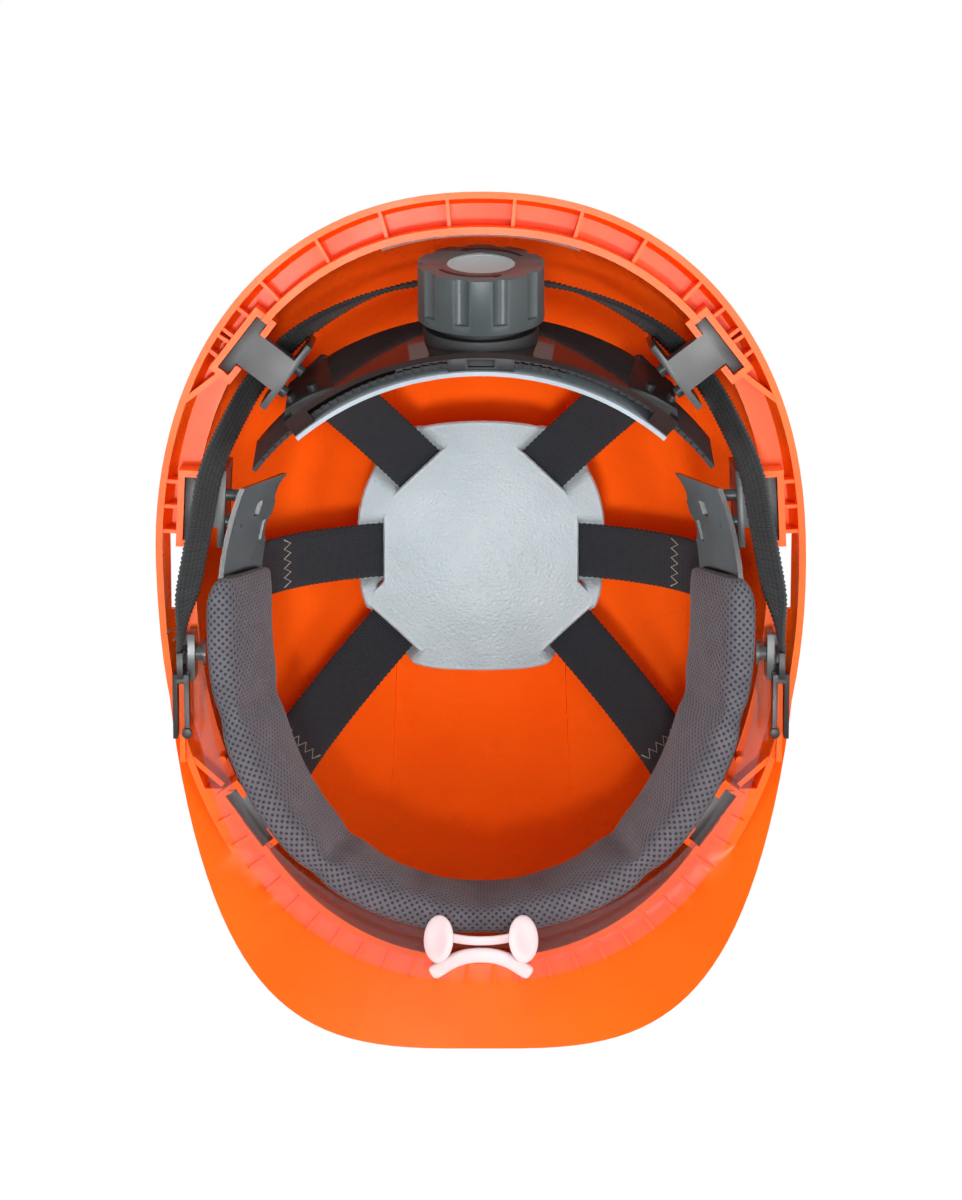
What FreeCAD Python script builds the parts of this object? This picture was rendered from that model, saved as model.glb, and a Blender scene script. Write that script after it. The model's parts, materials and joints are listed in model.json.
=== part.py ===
import FreeCAD, Part
import math
import os
import re

import Sketcher
from FreeCAD import Placement, Rotation, Vector

# Forestry helmet, upright as worn, in millimetres. Z = 0 is the plane of the shell's rim, +Z is up,
# -Y is the front (the peak) and +X is the wearer's left.

doc = FreeCAD.newDocument("forestry_helmet")

# ---------------------------------------------------------------- driving dimensions
SIZES = [
    # the shell
    ("rim_half_width", 109.7, "half the width over the rim"),
    ("rim_rear", 125.0, "rim behind the widest line"),
    ("rim_front", 148.5, "rim in front of the widest line, at the brow"),
    ("dome_half_width", 100.5, "half the width of the dome above its rim"),
    ("dome_rear", 114.0, "dome behind the widest line"),
    ("dome_front", 139.5, "dome in front of the widest line"),
    ("crown_height", 138.0, "dome above the rim plane"),
    ("crown_shift", 12.0, "how far the crown lies in front of the widest line"),
    ("widest_line", 20.0, "Y of the widest line"),
    ("shell_wall", 2.6, "wall of the dome"),
    ("rim_wall", 2.2, "wall of the rim"),
    ("rim_height", 14.0, "height of the ledge between rim and dome"),
    ("ring_drop", 4.0, "inner ring wall below the rim plane"),
    ("ring_wall", 2.4, "inner ring wall"),
    ("rib_wall", 1.2, "stiffening rib"),
    ("brow_rib_reach", 8.0, "length of a brow rib"),
    ("peak_reach", 167.3, "tip of the peak in front of the widest line"),
    ("peak_wall", 2.6, "wall of the peak"),
    ("peak_slope", 20.0, "droop of the peak in degrees"),
    ("peak_arch", 260.0, "radius of the peak's arch"),
    ("ridge_width", 66.0, "crown ridge"),
    ("ridge_rise", 3.4, "crown ridge above the dome"),
    ("slot_length", 27.0, "accessory slot along the rim"),
    ("slot_width", 4.6, "accessory slot across the rim"),
    ("bar_width", 1.8, "chin strap hook bar"),
    ("bar_length", 28.0, "chin strap hook bar"),
    ("bar_drop", 5.0, "hook bar below the rim plane"),
    # hangers and their pockets
    ("key_width", 21.0, "head of a hanger key"),
    ("key_thick", 4.0, "head of a hanger key"),
    ("key_height", 10.5, "head of a hanger key"),
    ("neck_width", 12.5, "neck of a hanger key"),
    ("key_play", 0.25, "play of a key in its pocket"),
    ("pocket_wall", 2.2, "wall of a pocket"),
    ("hanger_reach", 7.2, "hanger plate inside its key"),
    ("hanger_wall", 2.2, "hanger plate"),
    ("hanger_height", 34.0, "hanger plate"),
    # webbing and pad
    ("webbing_width", 20.0, "crown webbing"),
    ("webbing_thick", 1.2, "crown webbing"),
    ("webbing_base", 27.0, "height of the webbing at the hangers"),
    ("webbing_rise", 76.0, "arch of the webbing above the hangers"),
    ("layer_gap", 1.1, "gap between crossed webbings"),
    ("pad_length", 92.0, "crown pad"),
    ("pad_thick", 1.6, "crown pad"),
    # headband and sweatband
    ("band_half_width", 89.0, "headband at its lower edge"),
    ("band_front", 104.0, "headband at its lower edge"),
    ("band_lean", 11.0, "headband's upper edge inside its lower edge, at the sides"),
    ("band_front_lean", 0.0, "headband's upper edge inside its lower edge, at the front"),
    ("band_low", -6.0, "lower edge of the headband"),
    ("band_height", 36.0, "headband"),
    ("band_wall", 1.6, "headband"),
    ("band_end", 46.5, "Y of the headband's ends"),
    ("foam_thick", 5.0, "sweatband inside the headband"),
    ("foam_wrap", 3.1, "sweatband outside the headband"),
    ("foam_end", 17.0, "Y of the sweatband's ends"),
    ("foam_gap", 0.3, "sweatband off the headband"),
    # nape band and ratchet
    ("nape_radius", 99.0, "outer face of the nape band"),
    ("nape_lean", 12.0, "lean of the nape band in degrees"),
    ("nape_y", 99.0, "middle of the nape band's outer face"),
    ("nape_z", -10.0, "middle of the nape band"),
    ("nape_height", 40.0, "nape band"),
    ("nape_wall", 1.8, "outer cover of the nape band"),
    ("nape_half_angle", 41.0, "nape band each side of its middle"),
    ("lining_wall", 1.4, "lining of the nape band"),
    ("rack_wall", 1.5, "rack strip"),
    ("rack_gap", 0.45, "gap beside a rack strip"),
    ("rack_height", 22.0, "rack strip above and below the pinion"),
    ("tooth_module", 1.0, "pinion module"),
    ("tooth_count", 12.0, "pinion teeth"),
    ("tooth_backlash", 0.5, "backlash"),
    ("spindle_radius", 4.0, "spindle in its bore"),
    ("running_gap", 0.08, "running fit"),
    ("housing_radius", 19.0, "ratchet housing"),
    ("housing_wall", 3.0, "ratchet housing outside the band"),
    ("knob_radius", 21.0, "knob"),
    ("knob_depth", 18.5, "knob"),
    ("knob_travel", 2.5, "push of the knob"),
    ("flute_radius", 3.4, "finger flute"),
    ("square_side", 7.0, "square drive of the knob"),
    # visor
    ("visor_half_width", 96.5, "visor lens"),
    ("visor_reach", 101.0, "visor lens in front of its pivot"),
    ("visor_wall", 1.8, "visor lens"),
    ("visor_low", -14.0, "lower edge of the stowed lens"),
    ("visor_angle", 24.0, "top of the stowed lens above its pivot, in degrees"),
    ("panel_half_width", 60.0, "full-height panel of the lens"),
    ("lip_reach", 110.5, "lip of the lens in front of its pivot"),
    ("pivot_y", -12.0, "visor pivot"),
    ("pivot_z", 6.0, "visor pivot"),
    ("pivot_radius", 2.5, "visor pivot pin"),
    ("carrier_wall", 2.5, "visor carrier"),
    # chin strap
    ("chin_width", 14.0, "chin strap webbing"),
    ("chin_thick", 2.0, "chin strap webbing"),
    ("prong_length", 19.0, "prong of a chin strap hook"),
    ("prong_thick", 1.6, "prong of a chin strap hook"),
    ("prong_gap", 0.3, "hook off its bar"),
    ("label_width", 68.0, "blank label"),
    ("label_height", 22.0, "blank label"),
]
sheet = doc.addObject("Spreadsheet::Sheet", "Sizes")
for row, (alias, value, note) in enumerate(SIZES, start=1):
    sheet.set("A%d" % row, note)
    sheet.set("B%d" % row, str(value))
    sheet.setAlias("B%d" % row, alias)
doc.recompute()


class Cells:
    """Reads a driving dimension by its name."""

    def __getattr__(self, alias):
        return float(sheet.get(alias))


dim = Cells()
POWER = 2.2  # superellipse power of the rim, dome and band outlines
X_AXIS = Vector(1, 0, 0)
Y_AXIS = Vector(0, 1, 0)
Z_AXIS = Vector(0, 0, 1)
ORIGIN = Vector(0, 0, 0)
SIDES = (("left", 1), ("right", -1))
parts = []


# ---------------------------------------------------------------- helpers: shapes
def box(x_low, x_high, y_low, y_high, z_low, z_high):
    return Part.makeBox(x_high - x_low, y_high - y_low, z_high - z_low, Vector(x_low, y_low, z_low))


def keep(feature):
    """Marks an object of the document as a finished sub-part."""
    parts.append(feature)
    return feature


def feature(label, shape, place=None):
    """A sub-part whose free-form shape is made with Part's own functions."""
    made = doc.addObject("Part::Feature", label)
    made.Label = label
    made.Shape = shape
    if place is not None:
        made.Placement = place
    return keep(made)


def superellipse(half_width, rear, front, centre, z, power=POWER, count=20):
    """A closed smooth outline, with its own depth behind and in front of its widest line."""
    points = []
    for step in range(count):
        turn = 2 * math.pi * step / count
        cosine, sine = math.cos(turn), math.sin(turn)
        depth = rear if sine > 0 else front
        x = half_width * math.copysign(abs(cosine) ** (2 / power), cosine)
        y = centre + depth * math.copysign(abs(sine) ** (2 / power), sine)
        points.append(Vector(x, y, z))
    curve = Part.BSplineCurve()
    curve.interpolate(points, PeriodicFlag=True)
    return Part.Wire(curve.toShape())


def mirrored_x(shape):
    return shape.mirror(ORIGIN, X_AXIS)


def origin_plane(body, role):
    return [item for item in body.Origin.OriginFeatures if item.Role == role][0]


def new_body(label, place):
    body = doc.addObject("PartDesign::Body", label)
    body.Label = label
    body.Placement = place
    return keep(body)


def new_sketch(body, name, role="XY_Plane", offset=None):
    sketch = body.newObject("Sketcher::SketchObject", name)
    sketch.AttachmentSupport = (origin_plane(body, role), "")
    sketch.MapMode = "FlatFace"
    if offset is not None:
        sketch.setExpression(".AttachmentOffset.Base.z", offset)
    return sketch


def circle(sketch, radius, name="radius"):
    index = sketch.addGeometry(Part.Circle(ORIGIN, Z_AXIS, 5.0))
    sketch.addConstraint(Sketcher.Constraint("Coincident", index, 3, -1, 1))
    at = sketch.addConstraint(Sketcher.Constraint("Radius", index, 5.0))
    sketch.renameConstraint(at, name)
    sketch.setExpression("Constraints." + name, radius)


def rectangle(sketch, width, height, name=""):
    """A rectangle centred on the sketch's origin."""
    corners = [Vector(-2, -2, 0), Vector(2, -2, 0), Vector(2, 2, 0), Vector(-2, 2, 0)]
    lines = []
    for start in range(4):
        line = Part.LineSegment(corners[start], corners[(start + 1) % 4])
        lines.append(sketch.addGeometry(line))
    for start in range(4):
        sketch.addConstraint(Sketcher.Constraint("Coincident", lines[start], 2, lines[(start + 1) % 4], 1))
    sketch.addConstraint(Sketcher.Constraint("Horizontal", lines[0]))
    sketch.addConstraint(Sketcher.Constraint("Horizontal", lines[2]))
    sketch.addConstraint(Sketcher.Constraint("Vertical", lines[1]))
    sketch.addConstraint(Sketcher.Constraint("Vertical", lines[3]))
    sketch.addConstraint(Sketcher.Constraint("Symmetric", lines[0], 1, lines[2], 1, -1, 1))
    across = sketch.addConstraint(Sketcher.Constraint("DistanceX", lines[0], 1, lines[0], 2, 4.0))
    sketch.renameConstraint(across, "across" + name)
    sketch.setExpression("Constraints.across" + name, width)
    along = sketch.addConstraint(Sketcher.Constraint("DistanceY", lines[1], 1, lines[1], 2, 4.0))
    sketch.renameConstraint(along, "along" + name)
    sketch.setExpression("Constraints.along" + name, height)


def pad(body, sketch, length, name):
    made = body.newObject("PartDesign::Pad", name)
    made.Profile = sketch
    made.setExpression("Length", length)
    sketch.Visibility = False
    body.Tip = made
    return made


def pocket(body, sketch, length, name, reverse=False):
    made = body.newObject("PartDesign::Pocket", name)
    made.Profile = sketch
    made.setExpression("Length", length)
    made.Reversed = reverse
    body.Tip = made
    return made


def polar(body, features, count, name):
    made = body.newObject("PartDesign::PolarPattern", name)
    made.Originals = features
    axis = [item for item in body.Origin.OriginFeatures if item.Role == "Z_Axis"][0]
    made.Axis = (axis, [""])
    made.Angle = 360.0
    if isinstance(count, str):
        made.setExpression("Occurrences", count)
    else:
        made.Occurrences = count
    body.Tip = made
    return made


# ---------------------------------------------------------------- helpers: primitives and booleans
ALIASES = re.compile(r"\b(" + "|".join(alias for alias, value, note in SIZES) + r")\b")


def bind(made, field, text):
    """Binds a field to an expression; the sheet's names are written without their prefix."""
    made.setExpression(field, ALIASES.sub(r"Sizes.\1", str(text)))


def block(name, length, width, height, x, y, z):
    made = doc.addObject("Part::Box", name)
    fields = (("Length", length), ("Width", width), ("Height", height),
              ("Placement.Base.x", x), ("Placement.Base.y", y), ("Placement.Base.z", z))
    for field, text in fields:
        bind(made, field, text)
    return made


def rod(name, radius, height, axis=Z_AXIS, turn=0.0):
    made = doc.addObject("Part::Cylinder", name)
    made.Placement = Placement(ORIGIN, Rotation(axis, turn))
    bind(made, "Radius", radius)
    bind(made, "Height", height)
    return made


def fuse(name, shapes):
    made = doc.addObject("Part::MultiFuse", name)
    made.Shapes = shapes
    return made


def cut(name, base, tools):
    made = doc.addObject("Part::Cut", name)
    made.Base = base
    made.Tool = tools[0] if len(tools) == 1 else fuse(name + "_tools", tools)
    made.Label = name
    return made


# ---------------------------------------------------------------- shell
DOME_LEVELS = [0.0, 0.2, 0.4, 0.58, 0.74, 0.86, 0.94, 0.98, 0.996]


def dome(inset, rise=0.0, shorten=0.0):
    """The dome's solid above the rim plane, inset from its outer face."""
    height = dim.crown_height - inset + rise
    wires = []
    for share in DOME_LEVELS:
        scale = (1 - share ** 2.3) ** (1 / 2.1)
        centre = dim.widest_line - dim.crown_shift * share ** 2
        wires.append(superellipse(
            scale * (dim.dome_half_width - inset),
            scale * (dim.dome_rear - inset - shorten),
            scale * (dim.dome_front - inset - shorten),
            centre, share * height))
    return Part.makeLoft(wires, True, False)


def dome_prism(inset, low, high):
    """An upright prism on the dome's outline."""
    outline = superellipse(dim.dome_half_width - inset, dim.dome_rear - inset, dim.dome_front - inset,
                           dim.widest_line, low)
    return Part.Face(outline).extrude(Vector(0, 0, high - low))


def rim_outline(inset, z):
    return superellipse(dim.rim_half_width - inset, dim.rim_rear - inset, dim.rim_front - inset,
                        dim.widest_line, z)


def rim_solid(inset, low):
    """The rim's solid, up to the flat ledge that joins it to the dome."""
    top = dim.rim_height - inset
    wires = [rim_outline(inset, low), rim_outline(inset + 0.8, top * 0.75), rim_outline(inset + 2.4, top)]
    return Part.makeLoft(wires, True, True)


def peak_plan(inset):
    """The plan outline of the peak: square-shouldered, bowed at the front."""
    reach = dim.peak_reach - inset
    side = []
    steps = 9
    for step in range(steps + 1):
        share = math.sin(math.radians(16 + (90 - 16) * step / steps))
        power = 2.2 + 0.75 * share ** 2
        x = (dim.rim_half_width - inset) * max(0.0, 1 - share ** power) ** (1 / power)
        side.append(Vector(x, dim.widest_line - share * reach, 0))
    points = side + [Vector(-p.x, p.y, 0) for p in reversed(side[:-1])]
    curve = Part.BSplineCurve()
    curve.interpolate(points)
    closing = Part.LineSegment(points[-1], points[0])
    return Part.Face(Part.Wire([curve.toShape(), closing.toShape()]))


def peak_vault(top_drop, depth):
    """An arched slab that droops towards the front, top_drop under the peak's top face."""
    half = dim.rim_half_width + 5
    sag = dim.peak_arch - math.sqrt(dim.peak_arch ** 2 - half ** 2)
    brow = dim.widest_line - dim.dome_front
    slope = math.radians(dim.peak_slope)
    start_y = dim.widest_line
    start_z = 3.0 - top_drop + (start_y - brow) * math.tan(slope)
    left = Vector(half, start_y, start_z - sag)
    right = Vector(-half, start_y, start_z - sag)
    arch = Part.Arc(left, Vector(0, start_y, start_z), right)
    under = Vector(0, 0, -depth)
    low_arch = Part.Arc(right + under, Vector(0, start_y, start_z - depth), left + under)
    wire = Part.Wire([arch.toShape(), Part.LineSegment(right, right + under).toShape(),
                      low_arch.toShape(), Part.LineSegment(left + under, left).toShape()])
    run = dim.peak_reach + 20
    return Part.Face(wire).extrude(Vector(0, -run, -run * math.tan(slope)))


def peak():
    plan = peak_plan(0).extrude(Vector(0, 0, 120))
    plan.translate(Vector(0, 0, -60))
    return plan.common(peak_vault(0, dim.peak_wall))


def radial_plate(x, y, angle, length, low, high, thick):
    """An upright plate that starts at x, y and runs outward along angle (degrees from +X)."""
    plate = box(0, length, -thick / 2, thick / 2, low, high)
    plate.rotate(ORIGIN, Z_AXIS, angle)
    plate.translate(Vector(x, y, 0))
    return plate


def outline_point(half_width, depth, turn):
    """A point of a superellipse outline and the direction of its outward normal, in degrees."""
    cosine, sine = math.cos(turn), math.sin(turn)
    x = half_width * math.copysign(abs(cosine) ** (2 / POWER), cosine)
    y = depth * math.copysign(abs(sine) ** (2 / POWER), sine)
    normal_x = math.copysign((abs(x) / half_width) ** (POWER - 1) / half_width, x)
    normal_y = math.copysign((abs(y) / depth) ** (POWER - 1) / depth, y)
    return x, y + dim.widest_line, math.degrees(math.atan2(normal_y, normal_x))


def turns_by_spacing(half_width, depth, spacing, first, last):
    """Parameters of outline points about a spacing apart, on the +X side between two Y values."""
    found = []
    travelled = spacing / 2
    previous = None
    for step in range(4000):
        turn = math.copysign(math.pi / 2, depth) * (1 - step / 4000)
        x, y, normal = outline_point(half_width, abs(depth), turn)
        if previous is not None:
            travelled += math.hypot(x - previous[0], y - previous[1])
        previous = (x, y)
        if travelled >= spacing and first <= y <= last:
            found.append(turn)
            travelled = 0.0
    return found


REAR_RIB_SPACING = 21.0
BROW_RIB_SPACING = 9.0
RING_REAR_END = 84.0
RING_FRONT_END = -58.0


def outline_ribs(depth, spacing, first, last, reach, low, high):
    """Radial ribs that start in the ring wall, evenly spaced along it between two Y values."""
    half_width = dim.dome_half_width - 0.6
    ribs = []
    for turn in turns_by_spacing(half_width, depth, spacing, first, last):
        x, y, normal = outline_point(half_width, abs(depth), turn)
        ribs.append(radial_plate(x, y, normal, reach, low, high, dim.rib_wall))
    return ribs


# where the six hangers plug in: x, y of the key on the left side and the direction of its outward normal
HANGERS = [("rear", 79.4, 94.0, 38.0), ("side", 97.6, 39.0, 3.0), ("front", 79.0, -67.5, -36.0)]
POCKET_DROP = 2.5


def at_hanger(x, y, angle):
    """Frame of a hanger: local X along the rim, local Y outward."""
    return Placement(Vector(x, y, 0), Rotation(Z_AXIS, angle - 90))


def pocket_block(name):
    """Material of a hanger's pocket, in the hanger's frame."""
    half = dim.key_width / 2 + dim.key_play + dim.pocket_wall
    deep = dim.key_thick / 2 + dim.key_play + dim.pocket_wall
    return box(-half, half, -deep, deep, -POCKET_DROP, dim.key_height + dim.pocket_wall)


def pocket_hollow():
    half = dim.key_width / 2 + dim.key_play
    deep = dim.key_thick / 2 + dim.key_play
    top = dim.key_height + dim.key_play
    slot = box(-half, half, -deep, deep, -4, top)
    neck = dim.neck_width / 2 + dim.key_play
    mouth = box(-neck, neck, -20, 0, -4, top)
    return slot.fuse(mouth)


def pocket_ribs():
    """Three small ribs between a pocket's back and the rim."""
    deep = dim.key_thick / 2 + dim.key_play + dim.pocket_wall - 0.3
    ribs = []
    for shift in (-8.5, 0.0, 8.5):
        half = dim.rib_wall / 2
        ribs.append(box(shift - half, shift + half, deep, deep + 8, 0.8, dim.rim_height - 1))
    return ribs


def boss(x, y):
    """A small round pilot boss under the ledge."""
    return Part.makeCylinder(1.4, 9, Vector(x, y, 4))


def rim_additions():
    """Ribs, pockets, end webs, hook bars and bosses of the left side, as separate solids."""
    gutter = rim_solid(dim.rim_wall / 2, -1)
    added = outline_ribs(dim.dome_rear - 0.6, REAR_RIB_SPACING, 92, 200, 16, 0.6, dim.rim_height - 1)
    added = [rib.common(gutter) for rib in added]
    added += outline_ribs(0.6 - dim.dome_front, BROW_RIB_SPACING, -200, -64,
                          dim.brow_rib_reach, -dim.ring_drop + 1, 3)
    for name, x, y, angle in HANGERS:
        ribs = [] if name == "front" else pocket_ribs()
        for piece in [pocket_block(name)] + ribs:
            piece.Placement = at_hanger(x, y, angle)
            added.append(piece.common(gutter) if piece in ribs else piece)
    for (x1, y1), (x2, y2) in END_WEBS:
        length = math.hypot(x2 - x1, y2 - y1)
        angle = math.degrees(math.atan2(y2 - y1, x2 - x1))
        added.append(radial_plate(x1, y1, angle, length, 0.5, dim.rim_height - 1, 1.8).common(gutter))
    added.append(box(HOOK_BAR_X, HOOK_BAR_X + dim.bar_width, HOOK_BAR_Y, HOOK_BAR_Y + dim.bar_length,
                     -dim.bar_drop, dim.rim_height - 1))
    return added + [boss(x, y) for x, y in BOSSES]


def build_shell():
    body = dome(0)
    for addition in (rim_solid(0, 0), ridge(0), peak()):
        body = body.fuse(addition)
    rim_zone = box(-150, 150, RING_FRONT_END, 170, -20, 40)
    hollows = (dome(dim.shell_wall), dome_prism(dim.shell_wall, -60, 2), ridge(dim.shell_wall),
               rim_solid(dim.rim_wall, -1).common(rim_zone))
    for hollow in hollows:
        body = body.cut(hollow)
    ring = dome_prism(0.4, -dim.ring_drop, dim.rim_height - 1)
    side_gap = box(50, 150, RING_FRONT_END, RING_REAR_END, -20, 40)
    ring = ring.cut([dome_prism(0.4 + dim.ring_wall, -20, 40), side_gap, mirrored_x(side_gap)])
    body = body.fuse(ring)
    for piece in rim_additions():
        body = body.fuse([piece, mirrored_x(piece)])
    slot = accessory_slot()
    body = body.cut([slot, mirrored_x(slot)])
    for name, x, y, angle in HANGERS:
        hole = pocket_hollow()
        hole.Placement = at_hanger(x, y, angle)
        body = body.cut([hole, mirrored_x(hole)])
    return body


END_WEBS = [((83, 87.5), (99.5, 75)), ((88, -57), (98.5, -47.5))]
BOSSES = [(95.7, 49.5), (88.5, -49), (72.5, -76.5)]


HOOK_BAR_X = 100.3
HOOK_BAR_Y = -47.5
SLOT_X = 101.2
SLOT_Y = 2.5


def accessory_slot():
    """The see-through slot in the ledge, for ear-muff and face-shield arms."""
    return box(SLOT_X, SLOT_X + dim.slot_width, SLOT_Y, SLOT_Y + dim.slot_length, 5, 30)


def ridge(inset):
    """The raised crown panel, or its hollow when inset by the wall."""
    top = dim.crown_height + 30
    half = dim.ridge_width / 2 - inset
    flare = 6
    profile = Part.makePolygon([Vector(-half - flare, -105, 30), Vector(half + flare, -105, 30),
                                Vector(half - 1, -105, top), Vector(-half + 1, -105, top),
                                Vector(-half - flare, -105, 30)])
    prism = Part.Face(profile).extrude(Vector(0, 240, 0))
    return dome(inset - dim.ridge_rise, shorten=dim.ridge_rise + 3).common(prism)


# ---------------------------------------------------------------- label
def build_label():
    """A thin blank label that follows the inner rear wall."""
    band = box(-dim.label_width / 2, dim.label_width / 2, 90, 140, 16, 16 + dim.label_height)
    return dome(dim.shell_wall + 0.05).cut(dome(dim.shell_wall + 0.35)).common(band)


# ---------------------------------------------------------------- hangers
STUD_RADIUS = 2.0
STUD_SHIFT = 4.5
NECK_HEIGHT = 10.0
PLATE_DROP = 0.0
EXTRA_REACH = {"rear": 7.6, "side": 0.0, "front": -4.6}
STUD_LENGTH = {"rear": 2.4, "side": 5.8, "front": 3.6}


def build_hanger(label, place, extra_reach, stud_length):
    """A key that plugs into the shell, its neck, and a plate that carries the headband and a webbing."""
    reach = "(hanger_reach + %s)" % extra_reach
    key = block(label + "_key", "key_width", "key_thick", "key_height", "-key_width / 2", "-key_thick / 2", "0")
    neck = block(label + "_neck", "neck_width", reach, NECK_HEIGHT, "-neck_width / 2",
                 "-key_thick / 2 - " + reach, "0")
    plate_y = "-key_thick / 2 - hanger_wall - " + reach
    plate = block(label + "_plate", "key_width + 5", "hanger_wall", "hanger_height", "-key_width / 2 - 2.5",
                  plate_y, -PLATE_DROP)
    pieces = [key, neck, plate]
    for side, sign in SIDES:
        stud = rod(label + "_stud_" + side, STUD_RADIUS, stud_length, X_AXIS, 90)
        bind(stud, "Placement.Base.x", sign * STUD_SHIFT)
        bind(stud, "Placement.Base.y", plate_y)
        bind(stud, "Placement.Base.z", "4")
        pieces.append(stud)
    solid = fuse(label + "_solid", pieces)
    slot = block(label + "_slot", "webbing_width + 1", "hanger_wall + 4", 3.4, "-webbing_width / 2 - 0.5",
                 plate_y + " - 2", "hanger_height - 8")
    made = cut(label, solid, [slot])
    made.Placement = place
    return keep(made)


def hanger_plate_point(x, y, angle, extra_reach, gap):
    """A point in front of a hanger plate's inner face."""
    depth = dim.key_thick / 2 + dim.hanger_reach + extra_reach + dim.hanger_wall + gap
    turn = math.radians(angle)
    return x - depth * math.cos(turn), y - depth * math.sin(turn)


# ---------------------------------------------------------------- webbing and crown pad
SIDE_WEBBING_END = (80.5, 8.5)
SIDE_WEBBING_BASE = 32.0
WEBBING_CLEARANCE = 3.4
CROSSING_Y = 11.0


def build_webbing(label, start, end, base, layer):
    """A webbing that arches from one hanger to another, in a layer of the crossing."""
    length = math.hypot(end[0] - start[0], end[1] - start[1])
    top = dim.webbing_base + dim.webbing_rise + layer * (dim.webbing_thick + dim.layer_gap)
    half_width = dim.webbing_width / 2
    arches = []
    for inset in (0.0, dim.webbing_thick):
        long_radius, high_radius = length / 2 - inset, top - base - inset
        ellipse = Part.Ellipse(ORIGIN, max(long_radius, high_radius), min(long_radius, high_radius))
        face = Part.Face(Part.Wire(ellipse.toShape()))
        if high_radius > long_radius:
            face.rotate(ORIGIN, Z_AXIS, 90)
        face.rotate(ORIGIN, X_AXIS, 90)
        face.translate(Vector(0, half_width, 0))
        arches.append(face.extrude(Vector(0, -dim.webbing_width, 0)))
    arch = arches[0].cut(arches[1]).common(box(-200, 200, -50, 50, 0, 200))
    angle = math.degrees(math.atan2(end[1] - start[1], end[0] - start[0]))
    middle = Vector((start[0] + end[0]) / 2, (start[1] + end[1]) / 2, base)
    return feature(label, arch, Placement(middle, Rotation(Z_AXIS, angle)))


def build_crown_pad():
    """A thin domed pad under the crossing, plain eight-sided outline."""
    half = dim.pad_length / 2
    corners = [(0.54, 1.0), (0.94, 0.5), (1.0, 0.0), (0.94, -0.5), (0.54, -1.0)]
    ring = corners + [(-x, y) for x, y in reversed(corners)]
    points = [Vector(x * half, y * half, -60) for x, y in ring]
    outline = Part.Face(Part.makePolygon(points + points[:1])).extrude(Vector(0, 0, 180))
    radius = 88.0
    ball = Part.makeSphere(radius).cut(Part.makeSphere(radius - dim.pad_thick))
    top = dim.webbing_base + dim.webbing_rise - dim.webbing_thick - 1.0
    upper = box(-100, 100, -100, 100, 0, 100)
    return feature("crown_pad", ball.common(outline).common(upper),
                   Placement(Vector(0, CROSSING_Y, top - radius), Rotation()))


# ---------------------------------------------------------------- headband and sweatband
BAND_POWER = 2.15


def band_solid(inset, low, high):
    """The headband's leaning outline as a solid, inset from its outer face."""
    wires = []
    for z in (low, high):
        share = (z - dim.band_low) / dim.band_height
        half_width = dim.band_half_width - dim.band_lean * share - inset
        rear = dim.band_front - 3 - dim.band_lean * share - inset
        front = dim.band_front - dim.band_front_lean * share - inset
        wires.append(superellipse(half_width, rear, front, 0, z, BAND_POWER))
    return Part.makeLoft(wires, True, True)


def build_headband():
    low, high = dim.band_low, dim.band_low + dim.band_height
    ring = band_solid(0, low, high).cut(band_solid(dim.band_wall, low - 1, high + 1))
    ring = ring.common(box(-150, 150, -150, dim.band_end, low - 5, high + 5))
    holes = []
    for y, z, length, height in ((49, 19, 9, 4), (34, 12, 5, 5), (24, 22, 7, 3)):
        holes.append(box(55, 100, y, y + length, z, z + height))
    for y in (28.0, 41.0, 54.0):
        holes.append(Part.makeCylinder(4.6, 60, Vector(50, y, high + 1.5), X_AXIS))
    return feature("headband", ring.cut(holes + [mirrored_x(hole) for hole in holes]))


def band_point(turn, inset, z):
    """A point on the headband's outline; turn is 0 at its front and grows towards the left."""
    share = (z - dim.band_low) / dim.band_height
    half_width = dim.band_half_width - dim.band_lean * share - inset
    if abs(turn) < 90:
        reach = dim.band_front - dim.band_front_lean * share - inset
    else:
        reach = dim.band_front - 3 - dim.band_lean * share - inset
    x, y = math.sin(math.radians(turn)), -math.cos(math.radians(turn))
    return Vector(half_width * math.copysign(abs(x) ** (2 / BAND_POWER), x),
                  reach * math.copysign(abs(y) ** (2 / BAND_POWER), y), z)


FOAM_TURN = 99.0  # where the sweatband ends, in degrees from its front
FOAM_STEPS = 44


def build_sweatband():
    """Foam inside the front of the headband, turned out under its lower edge."""
    inside = dim.band_wall + dim.foam_gap
    deep = inside + dim.foam_thick
    top = dim.band_low + dim.band_height + 2
    foot = dim.band_low - dim.foam_gap
    turned_top = dim.band_low + 3
    section = [(inside, top), (inside, foot), (-dim.foam_gap, foot), (-dim.foam_gap, turned_top),
               (-dim.foam_gap - dim.foam_wrap, turned_top), (-dim.foam_gap - dim.foam_wrap, foot - 3),
               (deep, foot - 3), (deep, top)]
    wires = []
    for step in range(FOAM_STEPS + 1):
        turn = FOAM_TURN * (2 * step / FOAM_STEPS - 1)
        corners = [band_point(turn, inset, z) for inset, z in section]
        wires.append(Part.makePolygon(corners + corners[:1]))
    return feature("sweatband", Part.makeLoft(wires, True, True))


# ---------------------------------------------------------------- nape band and ratchet
def nape_frame():
    """Frame of the nape band: origin on its arc's axis, local Y outward at its middle, local Z its height."""
    lean = math.radians(dim.nape_lean)
    origin = Vector(0, dim.nape_y - dim.nape_radius * math.cos(lean),
                    dim.nape_z + dim.nape_radius * math.sin(lean))
    return Placement(origin, Rotation(X_AXIS, -dim.nape_lean))


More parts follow.
